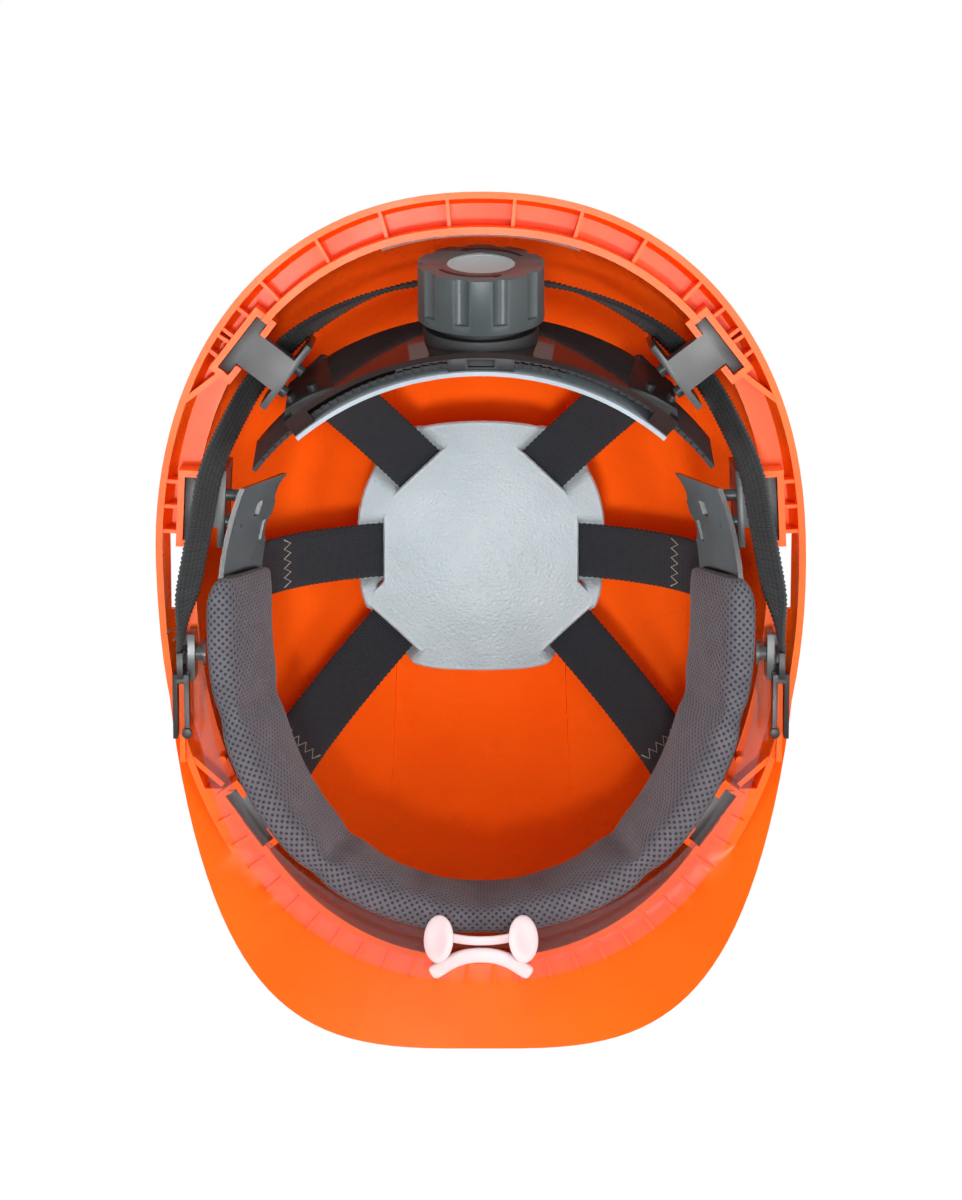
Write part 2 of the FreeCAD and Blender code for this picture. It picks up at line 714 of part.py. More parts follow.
NAPE = nape_frame()
KNOB = NAPE.multiply(Placement(Vector(0, dim.nape_radius, 0), Rotation(X_AXIS, -90)))
COVER_INNER = dim.nape_radius - dim.nape_wall
RACK_RADII = {"right": COVER_INNER - dim.rack_gap - dim.rack_wall,
              "left": COVER_INNER - 2 * (dim.rack_gap + dim.rack_wall)}
LINING_OUTER = RACK_RADII["left"] - dim.rack_gap
RACK_INNER_END = -17.0
RACK_OUTER_END = 53.0
RACK_SLOT_END = 14.0
RACK_SKIRT = 5.5
NICK_SPACING = 1.8
PITCH_RADIUS = dim.tooth_module * dim.tooth_count / 2


def arc_wall(inner, outer, low, high, first, last):
    """A wall on the nape band's arc; angles run from its middle towards the left."""
    span = last - first
    wall = Part.makeCylinder(outer, high - low, Vector(0, 0, low), Z_AXIS, span)
    wall = wall.cut(Part.makeCylinder(inner, high - low, Vector(0, 0, low), Z_AXIS, span))
    wall.rotate(ORIGIN, Z_AXIS, 90 - last)
    return wall


def radial_hole(radius):
    return Part.makeCylinder(radius, 140, ORIGIN, Y_AXIS)


def build_nape_cover():
    half = dim.nape_half_angle
    top = dim.nape_height / 2
    wall = arc_wall(COVER_INNER, dim.nape_radius, -top, top, -half, half)
    lip = arc_wall(LINING_OUTER, COVER_INNER, top - 1.6, top, -half, half)
    foot = arc_wall(LINING_OUTER, COVER_INNER, -top, -top + 1.4, half - 5, half)
    body = wall.fuse([lip, foot, mirrored_x(foot)]).cut(radial_hole(dim.spindle_radius + dim.running_gap))
    return feature("nape_band_cover", body, NAPE)


def build_nape_lining():
    half = dim.nape_half_angle
    top = dim.nape_height / 2
    wall = arc_wall(LINING_OUTER - dim.lining_wall, LINING_OUTER, -top - 1.5, top, -half, half)
    return feature("nape_band_lining", wall.cut(radial_hole(2.0 + dim.running_gap)), NAPE)


def rack_tooth(inner_radius, turn):
    """One rack tooth that points down from above the pinion, at an angle along the strip."""
    pitch_half = math.pi * dim.tooth_module / 4 - dim.tooth_backlash / 4
    slope = math.tan(math.radians(20))
    tip, root = PITCH_RADIUS - 0.9 * dim.tooth_module, PITCH_RADIUS + 1.3 * dim.tooth_module
    tip_half = pitch_half - 0.9 * dim.tooth_module * slope
    root_half = pitch_half + 1.3 * dim.tooth_module * slope
    y = inner_radius - 0.02
    profile = Part.makePolygon([Vector(-tip_half, y, tip), Vector(tip_half, y, tip), Vector(root_half, y, root),
                                Vector(-root_half, y, root), Vector(-tip_half, y, tip)])
    tooth = Part.Face(profile).extrude(Vector(0, dim.rack_wall + 0.02, 0))
    tooth.rotate(ORIGIN, Z_AXIS, -turn)
    return tooth


def build_rack(side, sign):
    """A flexible strip with a toothed slot; the left one meshes above the pinion, the right one below."""
    inner = RACK_RADII[side]
    outer = inner + dim.rack_wall
    half = dim.rack_height / 2
    ends = sorted((sign * RACK_INNER_END, sign * RACK_OUTER_END))
    strip = arc_wall(inner, outer, -half - RACK_SKIRT, half, *ends)
    root = PITCH_RADIUS + 1.25 * dim.tooth_module
    plain = root + 0.5
    low, high = (-plain, root) if side == "left" else (-root, plain)
    strip = strip.cut(arc_wall(inner - 1, outer + 1, low, high, -RACK_SLOT_END, RACK_SLOT_END))
    pitch_angle = math.degrees(math.pi * dim.tooth_module / (inner + dim.rack_wall / 2))
    count = int(RACK_SLOT_END / pitch_angle)
    teeth = [rack_tooth(inner, (index + 0.5) * pitch_angle) for index in range(-count, count)]
    if side == "right":
        for tooth in teeth:
            tooth.rotate(ORIGIN, Y_AXIS, 180)
    nicks = []
    for index in range(int((RACK_OUTER_END - RACK_INNER_END) / NICK_SPACING) - 1):
        nick = box(-0.6, 0.6, inner - 2, outer + 2, -half - RACK_SKIRT - 1, -half - RACK_SKIRT + 0.9)
        nick.rotate(ORIGIN, Z_AXIS, -sign * (RACK_INNER_END + NICK_SPACING * (index + 1)))
        nicks.append(nick)
    return feature("rack_" + side, strip.fuse(teeth).cut(nicks), NAPE)


def build_housing():
    """Saddle between nape band and knob, with the latch block under the strips."""
    saddle = Part.makeCylinder(dim.housing_radius, dim.housing_wall + 2.5, Vector(0, 0, -2.5))
    band = Part.makeCylinder(dim.nape_radius, 120, Vector(0, 60, -dim.nape_radius), Y_AXIS * -1)
    bore = Part.makeCylinder(dim.spindle_radius + dim.running_gap, 20, Vector(0, 0, -10))
    saddle = saddle.cut([band, bore])
    return feature("ratchet_housing", saddle, KNOB)


def build_latch_block():
    """Black block at the middle of the band's lower edge, with a small window."""
    low = -dim.nape_height / 2
    block_body = arc_wall(LINING_OUTER, COVER_INNER, low, low + 3.0, -6.6, 6.6)
    window = box(-4.2, 4.2, LINING_OUTER + 1.0, COVER_INNER - 0.9, low - 1, low + 1.8)
    return feature("latch_block", block_body.cut(window), NAPE)


CLICK_COUNT = 24
CLICK_RING_OUTER = 15.8
CLICK_RING_HEIGHT = 3.4
CLICK_RING_INNER = 12.6


def build_click_ring():
    body = new_body("click_ring", KNOB)
    ring = new_sketch(body, "click_ring_profile", "XY_Plane", "Sizes.housing_wall")
    circle(ring, "%s" % CLICK_RING_OUTER)
    circle(ring, "%s" % CLICK_RING_INNER, "inner")
    pad(body, ring, "%s" % CLICK_RING_HEIGHT, "click_ring_pad")
    doc.recompute()
    notch = new_sketch(body, "click_ring_notch", "XY_Plane", "Sizes.housing_wall")
    points = [Vector(CLICK_RING_INNER - 0.4, -0.9, 0), Vector(CLICK_RING_INNER + 0.9, 0, 0),
              Vector(CLICK_RING_INNER - 0.4, 0.9, 0)]
    for start in range(3):
        line = Part.LineSegment(points[start], points[(start + 1) % 3])
        notch.addGeometry(line)
    for start in range(3):
        notch.addConstraint(Sketcher.Constraint("Coincident", start, 2, (start + 1) % 3, 1))
    first = pocket(body, notch, "%s" % (CLICK_RING_HEIGHT + 1), "click_ring_cut", True)
    polar(body, [first], CLICK_COUNT, "click_ring_notches")
    return body


PINION_LOW = -6.0
PINION_HIGH = -2.05
SQUARE_LOW = 7.5
SHELF = 18.9
SCREW_TOP = 20.4
KNOB_LOW = 5.8


def build_spindle():
    """Pinion, shaft and square drive in one piece."""
    pilot = Part.makeCylinder(2.0, 1.6, Vector(0, 0, PINION_LOW - 1.6))
    root = Part.makeCylinder(PITCH_RADIUS - 1.25 * dim.tooth_module, PINION_HIGH - PINION_LOW,
                             Vector(0, 0, PINION_LOW))
    shaft = Part.makeCylinder(dim.spindle_radius, SQUARE_LOW - PINION_HIGH, Vector(0, 0, PINION_HIGH))
    half = dim.square_side / 2
    drive = box(-half, half, -half, half, SQUARE_LOW, SHELF)
    drive = drive.common(Part.makeCylinder(dim.spindle_radius + 0.5, 40, ORIGIN))
    pitch_half = math.pi * dim.tooth_module / 4 - dim.tooth_backlash / 2
    levels = [(-1.35, 0.5), (0.0, 0.0), (0.9, -0.32)]
    right = [Vector(PITCH_RADIUS + rise, pitch_half + spread, PINION_LOW) for rise, spread in levels]
    left = [Vector(point.x, -point.y, point.z) for point in reversed(right)]
    tooth = Part.Face(Part.makePolygon(right + left + right[:1])).extrude(Vector(0, 0, PINION_HIGH - PINION_LOW))
    teeth = []
    for index in range(int(dim.tooth_count)):
        copy = tooth.copy()
        copy.rotate(ORIGIN, Z_AXIS, index * 360 / dim.tooth_count)
        teeth.append(copy)
    body = root.fuse(teeth + [pilot, shaft, drive])
    core = Part.makeCylinder(1.2, 8, Vector(0, 0, SHELF - 7))
    return feature("ratchet_spindle", body.cut(core), KNOB)


def build_spindle_screw():
    head = Part.makeCylinder(4.8, SCREW_TOP - SHELF, Vector(0, 0, SHELF))
    core = Part.makeCylinder(1.2, 7, Vector(0, 0, SHELF - 7))
    arm = box(-3, 3, -0.5, 0.5, SCREW_TOP - 0.9, SCREW_TOP + 1)
    cross = box(-0.5, 0.5, -3, 3, SCREW_TOP - 0.9, SCREW_TOP + 1)
    return feature("spindle_screw", head.fuse(core).cut([arm, cross]), KNOB)


def build_pawl_star():
    """Three sprung arms that click past the ring's notches."""
    low, high = dim.housing_wall + 0.4, dim.housing_wall + 2.6
    hub = Part.makeCylinder(6.4, high - low, Vector(0, 0, low))
    arms = []
    for index in range(3):
        arm = box(4.5, 11.4, -1.0, 0.2, low, high).fuse(Part.makeCylinder(0.9, high - low, Vector(11.4, -0.2, low)))
        arm.rotate(ORIGIN, Z_AXIS, index * 120)
        arms.append(arm)
    bore = Part.makeCylinder(dim.spindle_radius, 20, ORIGIN)
    return feature("pawl_star", hub.fuse(arms).cut(bore), KNOB)


def build_knob():
    """Finger wheel: a revolved cup with ten flutes and a square bore."""
    body = new_body("knob", KNOB)
    disc = new_sketch(body, "knob_disc", "XY_Plane", "%s" % KNOB_LOW)
    circle(disc, "Sizes.knob_radius")
    pad(body, disc, "Sizes.knob_depth", "knob_pad")
    doc.recompute()
    cavity = new_sketch(body, "knob_cavity", "XY_Plane", "%s" % KNOB_LOW)
    circle(cavity, "%s" % (CLICK_RING_OUTER + 0.9))
    pocket(body, cavity, "Sizes.knob_travel + 2.4", "knob_cavity_cut", True)
    doc.recompute()
    bore = new_sketch(body, "knob_bore", "XY_Plane", "%s" % KNOB_LOW)
    rectangle(bore, "Sizes.square_side + 2 * Sizes.running_gap", "Sizes.square_side + 2 * Sizes.running_gap")
    pocket(body, bore, "%s" % (SHELF - KNOB_LOW), "knob_bore_cut", True)
    doc.recompute()
    well = new_sketch(body, "knob_well", "XY_Plane", "%s" % SHELF)
    circle(well, "5.3")
    pocket(body, well, "Sizes.knob_depth", "knob_well_cut", True)
    doc.recompute()
    seat = new_sketch(body, "knob_seat", "XY_Plane", "%s + Sizes.knob_depth - 1.2" % KNOB_LOW)
    circle(seat, "11.3")
    pocket(body, seat, "3", "knob_seat_cut", True)
    doc.recompute()
    flute = new_sketch(body, "knob_flute", "XY_Plane", "%s" % (KNOB_LOW + 3.2))
    index = flute.addGeometry(Part.Circle(Vector(22.9, 0, 0), Z_AXIS, 3.4))
    at = flute.addConstraint(Sketcher.Constraint("Radius", index, 3.4))
    flute.setExpression("Constraints[%d]" % at, "Sizes.flute_radius")
    across = flute.addConstraint(Sketcher.Constraint("DistanceX", -1, 1, index, 3, 22.9))
    flute.setExpression("Constraints[%d]" % across, "Sizes.knob_radius + Sizes.flute_radius * 0.56")
    flute.addConstraint(Sketcher.Constraint("PointOnObject", index, 3, -1))
    first = pocket(body, flute, "Sizes.knob_depth", "knob_flute_cut", True)
    polar(body, [first], 10, "knob_flutes")
    doc.recompute()
    return body


def build_knob_cap():
    top = KNOB_LOW + dim.knob_depth
    disc = Part.makeCylinder(11.2, 0.9, Vector(0, 0, top - 1.2))
    dish = Part.makeCylinder(9.6, 1, Vector(0, 0, top - 0.6))
    return feature("knob_cap", disc.cut(dish), KNOB)


# ---------------------------------------------------------------- visor
PIVOT = Vector(0, dim.pivot_y, dim.pivot_z)
LENS_POWER = 2.0


def lens_outline(half_width, reach, power):
    """Half of the lens's plan outline, from the left pivot round the front to the right pivot."""
    points = []
    for step in range(25):
        turn = math.pi * step / 24
        cosine, sine = math.cos(turn), math.sin(turn)
        x = half_width * math.copysign(abs(cosine) ** (2 / power), cosine)
        points.append(Vector(x, -reach * abs(sine) ** (2 / power), 0))
    curve = Part.BSplineCurve()
    curve.interpolate(points)
    return curve.toShape()


def lens_skin():
    """A thin skin of revolution about the pivots' axis, so the lens slides along itself."""
    outer = lens_outline(dim.visor_half_width, dim.visor_reach, LENS_POWER)
    inner = lens_outline(dim.visor_half_width - dim.visor_wall, dim.visor_reach - dim.visor_wall, LENS_POWER)
    solids = []
    for edge in (outer, inner):
        ends = [edge.Vertexes[0].Point, edge.Vertexes[-1].Point]
        face = Part.Face(Part.Wire([edge, Part.LineSegment(ends[1], ends[0]).toShape()]))
        solids.append(face.revolve(ORIGIN, X_AXIS, 75 + dim.visor_angle))
    skin = solids[0].cut(solids[1])
    skin.rotate(ORIGIN, X_AXIS, -dim.visor_angle)
    return skin


def build_lens():
    skin = lens_skin()
    low = dim.visor_low - dim.pivot_z
    # the wings pass under the front hangers' pockets, so they stay low between panel and pivots
    wing_top = -POCKET_DROP - 2.2 - dim.pivot_z
    over_wings = box(dim.panel_half_width, 120, -120, -13, wing_top, 80)
    skin = skin.cut([over_wings, mirrored_x(over_wings)]).common(box(-120, 120, -140, 40, low, 80))
    outline = lens_outline(dim.visor_half_width, dim.lip_reach, POWER)
    closing = Part.LineSegment(outline.Vertexes[-1].Point, outline.Vertexes[0].Point).toShape()
    rim_face = Part.Face(Part.Wire([outline, closing]))
    rim_face.translate(Vector(0, 0, low))
    inside = lens_outline(dim.visor_half_width - dim.visor_wall, dim.visor_reach * 0.93, LENS_POWER)
    closing = Part.LineSegment(inside.Vertexes[-1].Point, inside.Vertexes[0].Point).toShape()
    core = Part.Face(Part.Wire([inside, closing]))
    core.translate(Vector(0, 0, low - 1))
    lip = rim_face.extrude(Vector(0, 0, 1.6)).cut(core.extrude(Vector(0, 0, 4)))
    lip = lip.common(box(-120, 120, -140, -22, -60, 0))
    ears = []
    for sign in (1, -1):
        ear = Part.makeCylinder(5.4, dim.visor_wall, Vector(dim.visor_half_width - dim.visor_wall, 0, 0), X_AXIS)
        arm = box(dim.visor_half_width - dim.visor_wall, dim.visor_half_width, -26, -4, low, 3)
        ear = ear.fuse(arm)
        ears.append(ear if sign > 0 else mirrored_x(ear))
    body = skin.fuse(lip).fuse(ears)
    hole = Part.makeCylinder(dim.pivot_radius + dim.running_gap, 260, Vector(-130, 0, 0), X_AXIS)
    notch = Part.makeCylinder(13.0, 40, Vector(0, -dim.visor_reach - 14, low - 5.5), Y_AXIS)
    return feature("visor_lens", body.cut([hole, notch]), Placement(PIVOT, Rotation()))


def build_nose_bridge():
    """Two soft oval pads on a bridge that clips over the lens's nose notch."""
    y = -dim.visor_reach + dim.visor_wall
    low = dim.visor_low - dim.pivot_z
    pieces = []
    for sign in (1, -1):
        ball = Part.makeSphere(1.0)
        shape = FreeCAD.Matrix()
        shape.scale(5.2, 8.5, 3.0)
        oval = ball.transformGeometry(shape)
        oval.rotate(ORIGIN, Y_AXIS, sign * 40)
        oval.translate(Vector(sign * 14.0, y + 8.5, low - 4.5))
        pieces.append(oval)
        pieces.append(box(min(sign * 8, sign * 14), max(sign * 8, sign * 14), y + 1.2, y + 6.0, low - 3.5, low + 1.0))
    pieces.append(box(-9, 9, y + 1.2, y + 4.2, low - 2.0, low + 2.0))
    body = pieces[0].fuse(pieces[1:])
    return feature("nose_bridge", body, Placement(PIVOT, Rotation()))


def build_visor_carrier(side, sign):
    """Block that clips on the dome's lower edge and holds a pivot pin."""
    low = dim.visor_half_width + 0.4
    top = dim.rim_height - dim.rim_wall - dim.pivot_z
    body = box(low, low + dim.carrier_wall, -8, 8, -7.5, top)
    clip = box(low + dim.carrier_wall, low + dim.carrier_wall + 3.5, -6, 6, top - 5, top)
    bore = Part.makeCylinder(dim.pivot_radius, 20, Vector(low - 5, 0, 0), X_AXIS)
    body = body.fuse(clip).cut(bore)
    return feature("visor_carrier_" + side, body if sign > 0 else mirrored_x(body), Placement(PIVOT, Rotation()))


def build_pivot_pin(side, sign):
    low = dim.visor_half_width - dim.visor_wall
    body = rod("visor_pin_%s_shank" % side, "pivot_radius", "visor_wall + 0.6 + carrier_wall", Y_AXIS, 90 * sign)
    head = rod("visor_pin_%s_head" % side, "pivot_radius + 1.7", "1.0", Y_AXIS, 90 * sign)
    bind(body, "Placement.Base.x", "%d * (visor_half_width - visor_wall - 0.2)" % sign)
    bind(head, "Placement.Base.x", "%d * (visor_half_width - visor_wall - 1.2)" % sign)
    for piece in (body, head):
        bind(piece, "Placement.Base.y", "pivot_y")
        bind(piece, "Placement.Base.z", "pivot_z")
    made = fuse("visor_pin_" + side, [body, head])
    made.Label = "visor_pin_" + side
    return keep(made)


# ---------------------------------------------------------------- chin strap
HOOK_Y = HOOK_BAR_Y + 28.0
STRAP_ROUTE = [(101.6, -7.5, -4.0), (99.8, 4, -6.0), (96.2, 22, -9.5), (93.0, 38, -10.5), (90.4, 53, -5.0),
               (84.0, 67, 8.0), (76.0, 81, 20.0), (63.0, 95, 25.5), (45.0, 105.5, 27.0), (26.0, 112.0, 27.5),
               (9.5, 113.5, 27.5)]


def build_chin_strap(side, sign):
    """Half of the stowed chin strap: webbing on edge, from its hook round behind the nape band."""
    wires = []
    for index, (x, y, z) in enumerate(STRAP_ROUTE):
        before = STRAP_ROUTE[max(index - 1, 0)]
        after = STRAP_ROUTE[min(index + 1, len(STRAP_ROUTE) - 1)]
        along = Vector(after[0] - before[0], after[1] - before[1], 0).normalize()
        across = Vector(-along.y, along.x, 0) * (dim.chin_thick / 2)
        rise = Vector(0, 0, dim.chin_width / 2)
        centre = Vector(x, y, z)
        corners = [centre + across + rise, centre - across + rise, centre - across - rise, centre + across - rise]
        wires.append(Part.makePolygon(corners + corners[:1]))
    strap = Part.makeLoft(wires, True, True)
    return feature("chin_strap_" + side, strap if sign > 0 else mirrored_x(strap))


def build_chin_slider():
    """Ladder buckle that joins the two halves behind the nape band."""
    x, y, z = STRAP_ROUTE[-1]
    half_width, half_height = x - 0.2, dim.chin_width / 2 + 2.5
    body = box(-half_width, half_width, y - 2, y + 2, z - half_height, z + half_height)
    slots = [box(shift - 1.2, shift + 1.2, y - 4, y + 4, z - half_height + 2, z + half_height - 2)
             for shift in (-5.5, 0.0, 5.5)]
    return feature("chin_strap_slider", body.cut(slots))


def build_hook(side, sign):
    """Forked hook that straddles its bar; the webbing's loop goes through its slot."""
    gap = dim.prong_gap
    inner, outer = HOOK_BAR_X - gap, HOOK_BAR_X + dim.bar_width + gap
    low, high = -9.0, -dim.bar_drop + 2.4
    thick = dim.prong_thick
    prongs = [box(inner - thick, inner, HOOK_Y - dim.prong_length, HOOK_Y + 1, low, high),
              box(outer, outer + thick, HOOK_Y - dim.prong_length, HOOK_Y + 1, low, high)]
    base = box(inner - thick, outer + thick, HOOK_Y, HOOK_Y + 3, low, high)
    frame = box(inner + 0.2, outer - 0.2, HOOK_Y + 2, HOOK_Y + 11, low - 3, high + 5)
    hollow = box(inner - 5, outer + 5, HOOK_Y + 5, HOOK_Y + 9, low - 1.2, high + 3.2)
    button = Part.makeCylinder(1.7, 2.2, Vector(inner - thick / 2, HOOK_Y - dim.prong_length + 2, low - 1.4))
    body = base.fuse(prongs + [frame, button]).cut(hollow)
    return feature("chin_hook_" + side, body if sign > 0 else mirrored_x(body))


# ---------------------------------------------------------------- assembly
feature("shell", build_shell())
feature("inner_label", build_label())
ends = {}
for name, x, y, angle in HANGERS:
    extra = EXTRA_REACH[name]
    ends[name] = hanger_plate_point(x, y, angle, extra, WEBBING_CLEARANCE)
    for side, sign in SIDES:
        turn = angle if sign > 0 else 180 - angle
        build_hanger("hanger_%s_%s" % (name, side), at_hanger(sign * x, y, turn), extra, STUD_LENGTH[name])
side_x, side_y = SIDE_WEBBING_END
build_webbing("webbing_side", (side_x, side_y), (-side_x, side_y), SIDE_WEBBING_BASE, 0)
build_webbing("webbing_diagonal_a", ends["rear"], (-ends["front"][0], ends["front"][1]), dim.webbing_base, 1)
build_webbing("webbing_diagonal_b", (-ends["rear"][0], ends["rear"][1]), ends["front"], dim.webbing_base, 2)
build_crown_pad()
build_headband()
build_sweatband()
build_nape_cover()
build_nape_lining()
for side, sign in SIDES:
    build_rack(side, sign)
build_housing()
build_latch_block()
build_click_ring()
build_spindle()
build_spindle_screw()
build_pawl_star()
build_knob()
build_knob_cap()
build_lens()
build_nose_bridge()
for side, sign in SIDES:
    build_visor_carrier(side, sign)
    build_pivot_pin(side, sign)
    build_chin_strap(side, sign)
    build_hook(side, sign)
build_chin_slider()
doc.recompute()

# ---------------------------------------------------------------- check and write
for item in doc.Objects:
    if "Invalid" in item.State or "Error" in item.State:
        raise RuntimeError("%s did not build: %s" % (item.Name, item.State))
os.makedirs("parts", exist_ok=True)
for part in parts:
    if part.Shape.isNull() or not part.Shape.isValid():
        raise RuntimeError(part.Label + " has no valid solid")
    part.Shape.exportStep("parts/%s.step" % part.Label)
    print(part.Label, len(part.Shape.Solids), round(part.Shape.Volume))
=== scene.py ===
import json
import math

import bpy
from mathutils import Matrix, Vector, noise


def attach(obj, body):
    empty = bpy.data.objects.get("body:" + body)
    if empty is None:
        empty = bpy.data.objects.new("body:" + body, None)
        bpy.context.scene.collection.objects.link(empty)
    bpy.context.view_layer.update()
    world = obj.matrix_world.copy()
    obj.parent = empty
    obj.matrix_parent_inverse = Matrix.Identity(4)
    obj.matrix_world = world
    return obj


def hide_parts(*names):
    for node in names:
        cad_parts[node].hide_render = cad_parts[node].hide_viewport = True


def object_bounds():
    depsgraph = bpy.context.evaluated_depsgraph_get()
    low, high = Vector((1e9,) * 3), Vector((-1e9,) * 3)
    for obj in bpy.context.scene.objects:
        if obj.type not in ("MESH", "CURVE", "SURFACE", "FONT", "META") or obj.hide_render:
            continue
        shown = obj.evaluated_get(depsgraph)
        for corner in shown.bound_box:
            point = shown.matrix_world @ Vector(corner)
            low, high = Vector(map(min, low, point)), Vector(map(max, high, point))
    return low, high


# Forestry helmet in metres, as worn: Z = 0 is the rim's plane, +Z up, -Y the peak, +X the wearer's left.

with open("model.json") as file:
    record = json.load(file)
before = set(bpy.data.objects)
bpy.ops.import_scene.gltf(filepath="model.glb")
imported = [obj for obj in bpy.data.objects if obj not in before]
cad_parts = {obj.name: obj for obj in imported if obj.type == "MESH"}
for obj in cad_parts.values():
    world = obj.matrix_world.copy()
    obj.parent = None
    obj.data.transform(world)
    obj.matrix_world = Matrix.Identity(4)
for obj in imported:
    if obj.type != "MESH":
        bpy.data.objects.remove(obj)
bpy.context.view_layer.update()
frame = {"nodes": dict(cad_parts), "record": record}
MM = 0.001


# ---------------------------------------------------------------- camera, light and floor
CAMERA_TILT = math.radians(10.5)
CAMERA_DISTANCE = 1.2
AIM = Vector((0, 0.0075, 0))

camera_data = bpy.data.cameras.new("camera")
camera_data.sensor_fit = "VERTICAL"
camera_data.sensor_height = 36
camera_data.lens = 106.5
camera = bpy.data.objects.new("camera", camera_data)
bpy.context.collection.objects.link(camera)
camera_right = Vector((-1, 0, 0))
camera_up = Vector((0, math.cos(CAMERA_TILT), math.sin(CAMERA_TILT)))
camera_back = camera_right.cross(camera_up)
camera.matrix_world = Matrix.Translation(AIM + CAMERA_DISTANCE * camera_back) @ Matrix(
    (camera_right, camera_up, camera_back)).transposed().to_4x4()
bpy.context.scene.camera = camera


def place_lamp(name, data, place, aim):
    """A lamp at that place, turned to face its aim."""
    lamp = bpy.data.objects.new(name, data)
    bpy.context.collection.objects.link(lamp)
    lamp.matrix_world = (Matrix.Translation(place)
                         @ (Vector(place) - aim).to_track_quat("Z", "Y").to_matrix().to_4x4())


def add_softbox(name, place, size, power):
    """A square softbox that faces the helmet."""
    data = bpy.data.lights.new(name, "AREA")
    data.size = size
    data.energy = power
    place_lamp(name, data, place, AIM)


add_softbox("softbox_left", (0.95, -0.35, -0.8), 0.7, 6.8)
add_softbox("softbox_right", (-0.95, -0.2, -0.8), 0.7, 8.7)
add_softbox("softbox_camera", (-0.15, 0.1, -1.4), 0.5, 7)
add_softbox("softbox_rear", (0.15, 1.5, -0.55), 0.8, 10)
add_softbox("softbox_above_left", (0.9, -0.7, 1.2), 1.0, 6)
add_softbox("softbox_above_right", (-1.0, 0.6, 1.1), 1.0, 5)

# A snooted lamp beside the camera lights the inside of the dome.
snoot_data = bpy.data.lights.new("snoot", "SPOT")
snoot_data.energy = 70
snoot_data.spot_size = math.radians(9.5)
snoot_data.spot_blend = 0.5
snoot_data.shadow_soft_size = 0.12
place_lamp("snoot", snoot_data, (0.06, -0.08, -1.3), Vector((0, 0.012, 0.02)))


# ---------------------------------------------------------------- material helpers
def colour(hex_code):
    """An sRGB hex value as a linear colour."""
    channels = [int(hex_code[place:place + 2], 16) / 255 for place in (0, 2, 4)]
    return tuple(c / 12.92 if c <= 0.04045 else ((c + 0.055) / 1.055) ** 2.4 for c in channels) + (1.0,)


def add_node(material, kind, links=(), values=(), **settings):
    """Adds a node; links are (input, output socket) pairs, values are (input, number or colour) pairs."""
    node = material.node_tree.nodes.new("ShaderNode" + kind)
    for name, value in settings.items():
        setattr(node, name, value)
    for socket, value in dict(values).items():
        node.inputs[socket].default_value = value
    for socket, source in dict(links).items():
        material.node_tree.links.new(source, node.inputs[socket])
    return node


def start_material(name, **constants):
    """A material with only a Principled shader; constants are set on the shader's own sockets."""
    material = bpy.data.materials.new(name)
    material.use_nodes = True
    shader = material.node_tree.nodes["Principled BSDF"]
    for socket, value in constants.items():
        shader.inputs[socket.replace("_", " ")].default_value = value
    return material


def per_mm(period):
    """Texture scale in metres for features of that size in millimetres."""
    return 1 / (period * MM)


def connect(material, source, socket):
    """Links a node's output to the shader."""
    shader = material.node_tree.nodes["Principled BSDF"]
    material.node_tree.links.new(source, shader.inputs[socket])


# A Mix node's colour sockets, by index, because its number and vector sockets have the same names.
COLOUR_A, COLOUR_B, MIXED_COLOUR = 6, 7, 2


def mottle(material, dark, light, size, contrast=0.5):
    """Base colour that drifts between two close colours over that size in millimetres."""
    place = add_node(material, "TexCoord")
    drift = add_node(material, "TexNoise", {"Vector": place.outputs["Object"]},
                     {"Scale": per_mm(size), "Detail": 3.0, "Roughness": contrast})
    spread = add_node(material, "MapRange", {"Value": drift.outputs["Fac"]},
                      {"From Min": 0.35, "From Max": 0.65})
    mix = add_node(material, "Mix", {"Factor": spread.outputs["Result"]}, data_type="RGBA")
    mix.inputs[COLOUR_A].default_value = colour(dark)
    mix.inputs[COLOUR_B].default_value = colour(light)
    connect(material, mix.outputs[MIXED_COLOUR], "Base Color")
    return place


def moulded_skin(material, place, grain, depth, low, high):
    """Fine moulded grain in the surface, with a roughness that drifts between low and high."""
    fine = add_node(material, "TexNoise", {"Vector": place.outputs["Object"]},
                    {"Scale": per_mm(grain), "Detail": 2.0})
    bump = add_node(material, "Bump", {"Height": fine.outputs["Fac"]},
                    {"Strength": 0.5, "Distance": depth * MM})
    connect(material, bump.outputs["Normal"], "Normal")
    drift = add_node(material, "TexNoise", {"Vector": place.outputs["Object"]},
                     {"Scale": per_mm(22), "Detail": 4.0})
    rough = add_node(material, "MapRange", {"Value": drift.outputs["Fac"]},
                     {"From Min": 0.3, "From Max": 0.7, "To Min": low, "To Max": high})
    connect(material, rough.outputs["Result"], "Roughness")


def moulded(name, dark, light, grain, depth, low, high, **constants):
    """A plastic moulding: two close colours, grain size and depth in millimetres, and its roughness."""
    material = start_material(name, **constants)
    place = mottle(material, dark, light, 40)
    moulded_skin(material, place, grain, depth, low, high)
    return material


# ---------------------------------------------------------------- moulded finishes
# Injection-moulded ABS in signal orange: bright and satin, with a soft highlight and hardly any grain.
orange_abs = moulded("orange_abs", "fc5e0e", "ff6412", 1.1, 0.015, 0.24, 0.32,
                     IOR=1.53, Specular_IOR_Level=0.15)
# Injection-moulded polyethylene headband, dark grey from a polished mould: reflects the orange round it.
band_polyethylene = moulded("band_polyethylene", "262b2d", "303537", 2.5, 0.03, 0.16, 0.3, IOR=1.51)
# Injection-moulded polyethylene hangers: the same resin, a little lighter and duller.
hanger_polyethylene = moulded("hanger_polyethylene", "33393b", "3d4446", 1.0, 0.03, 0.3, 0.45, IOR=1.51)
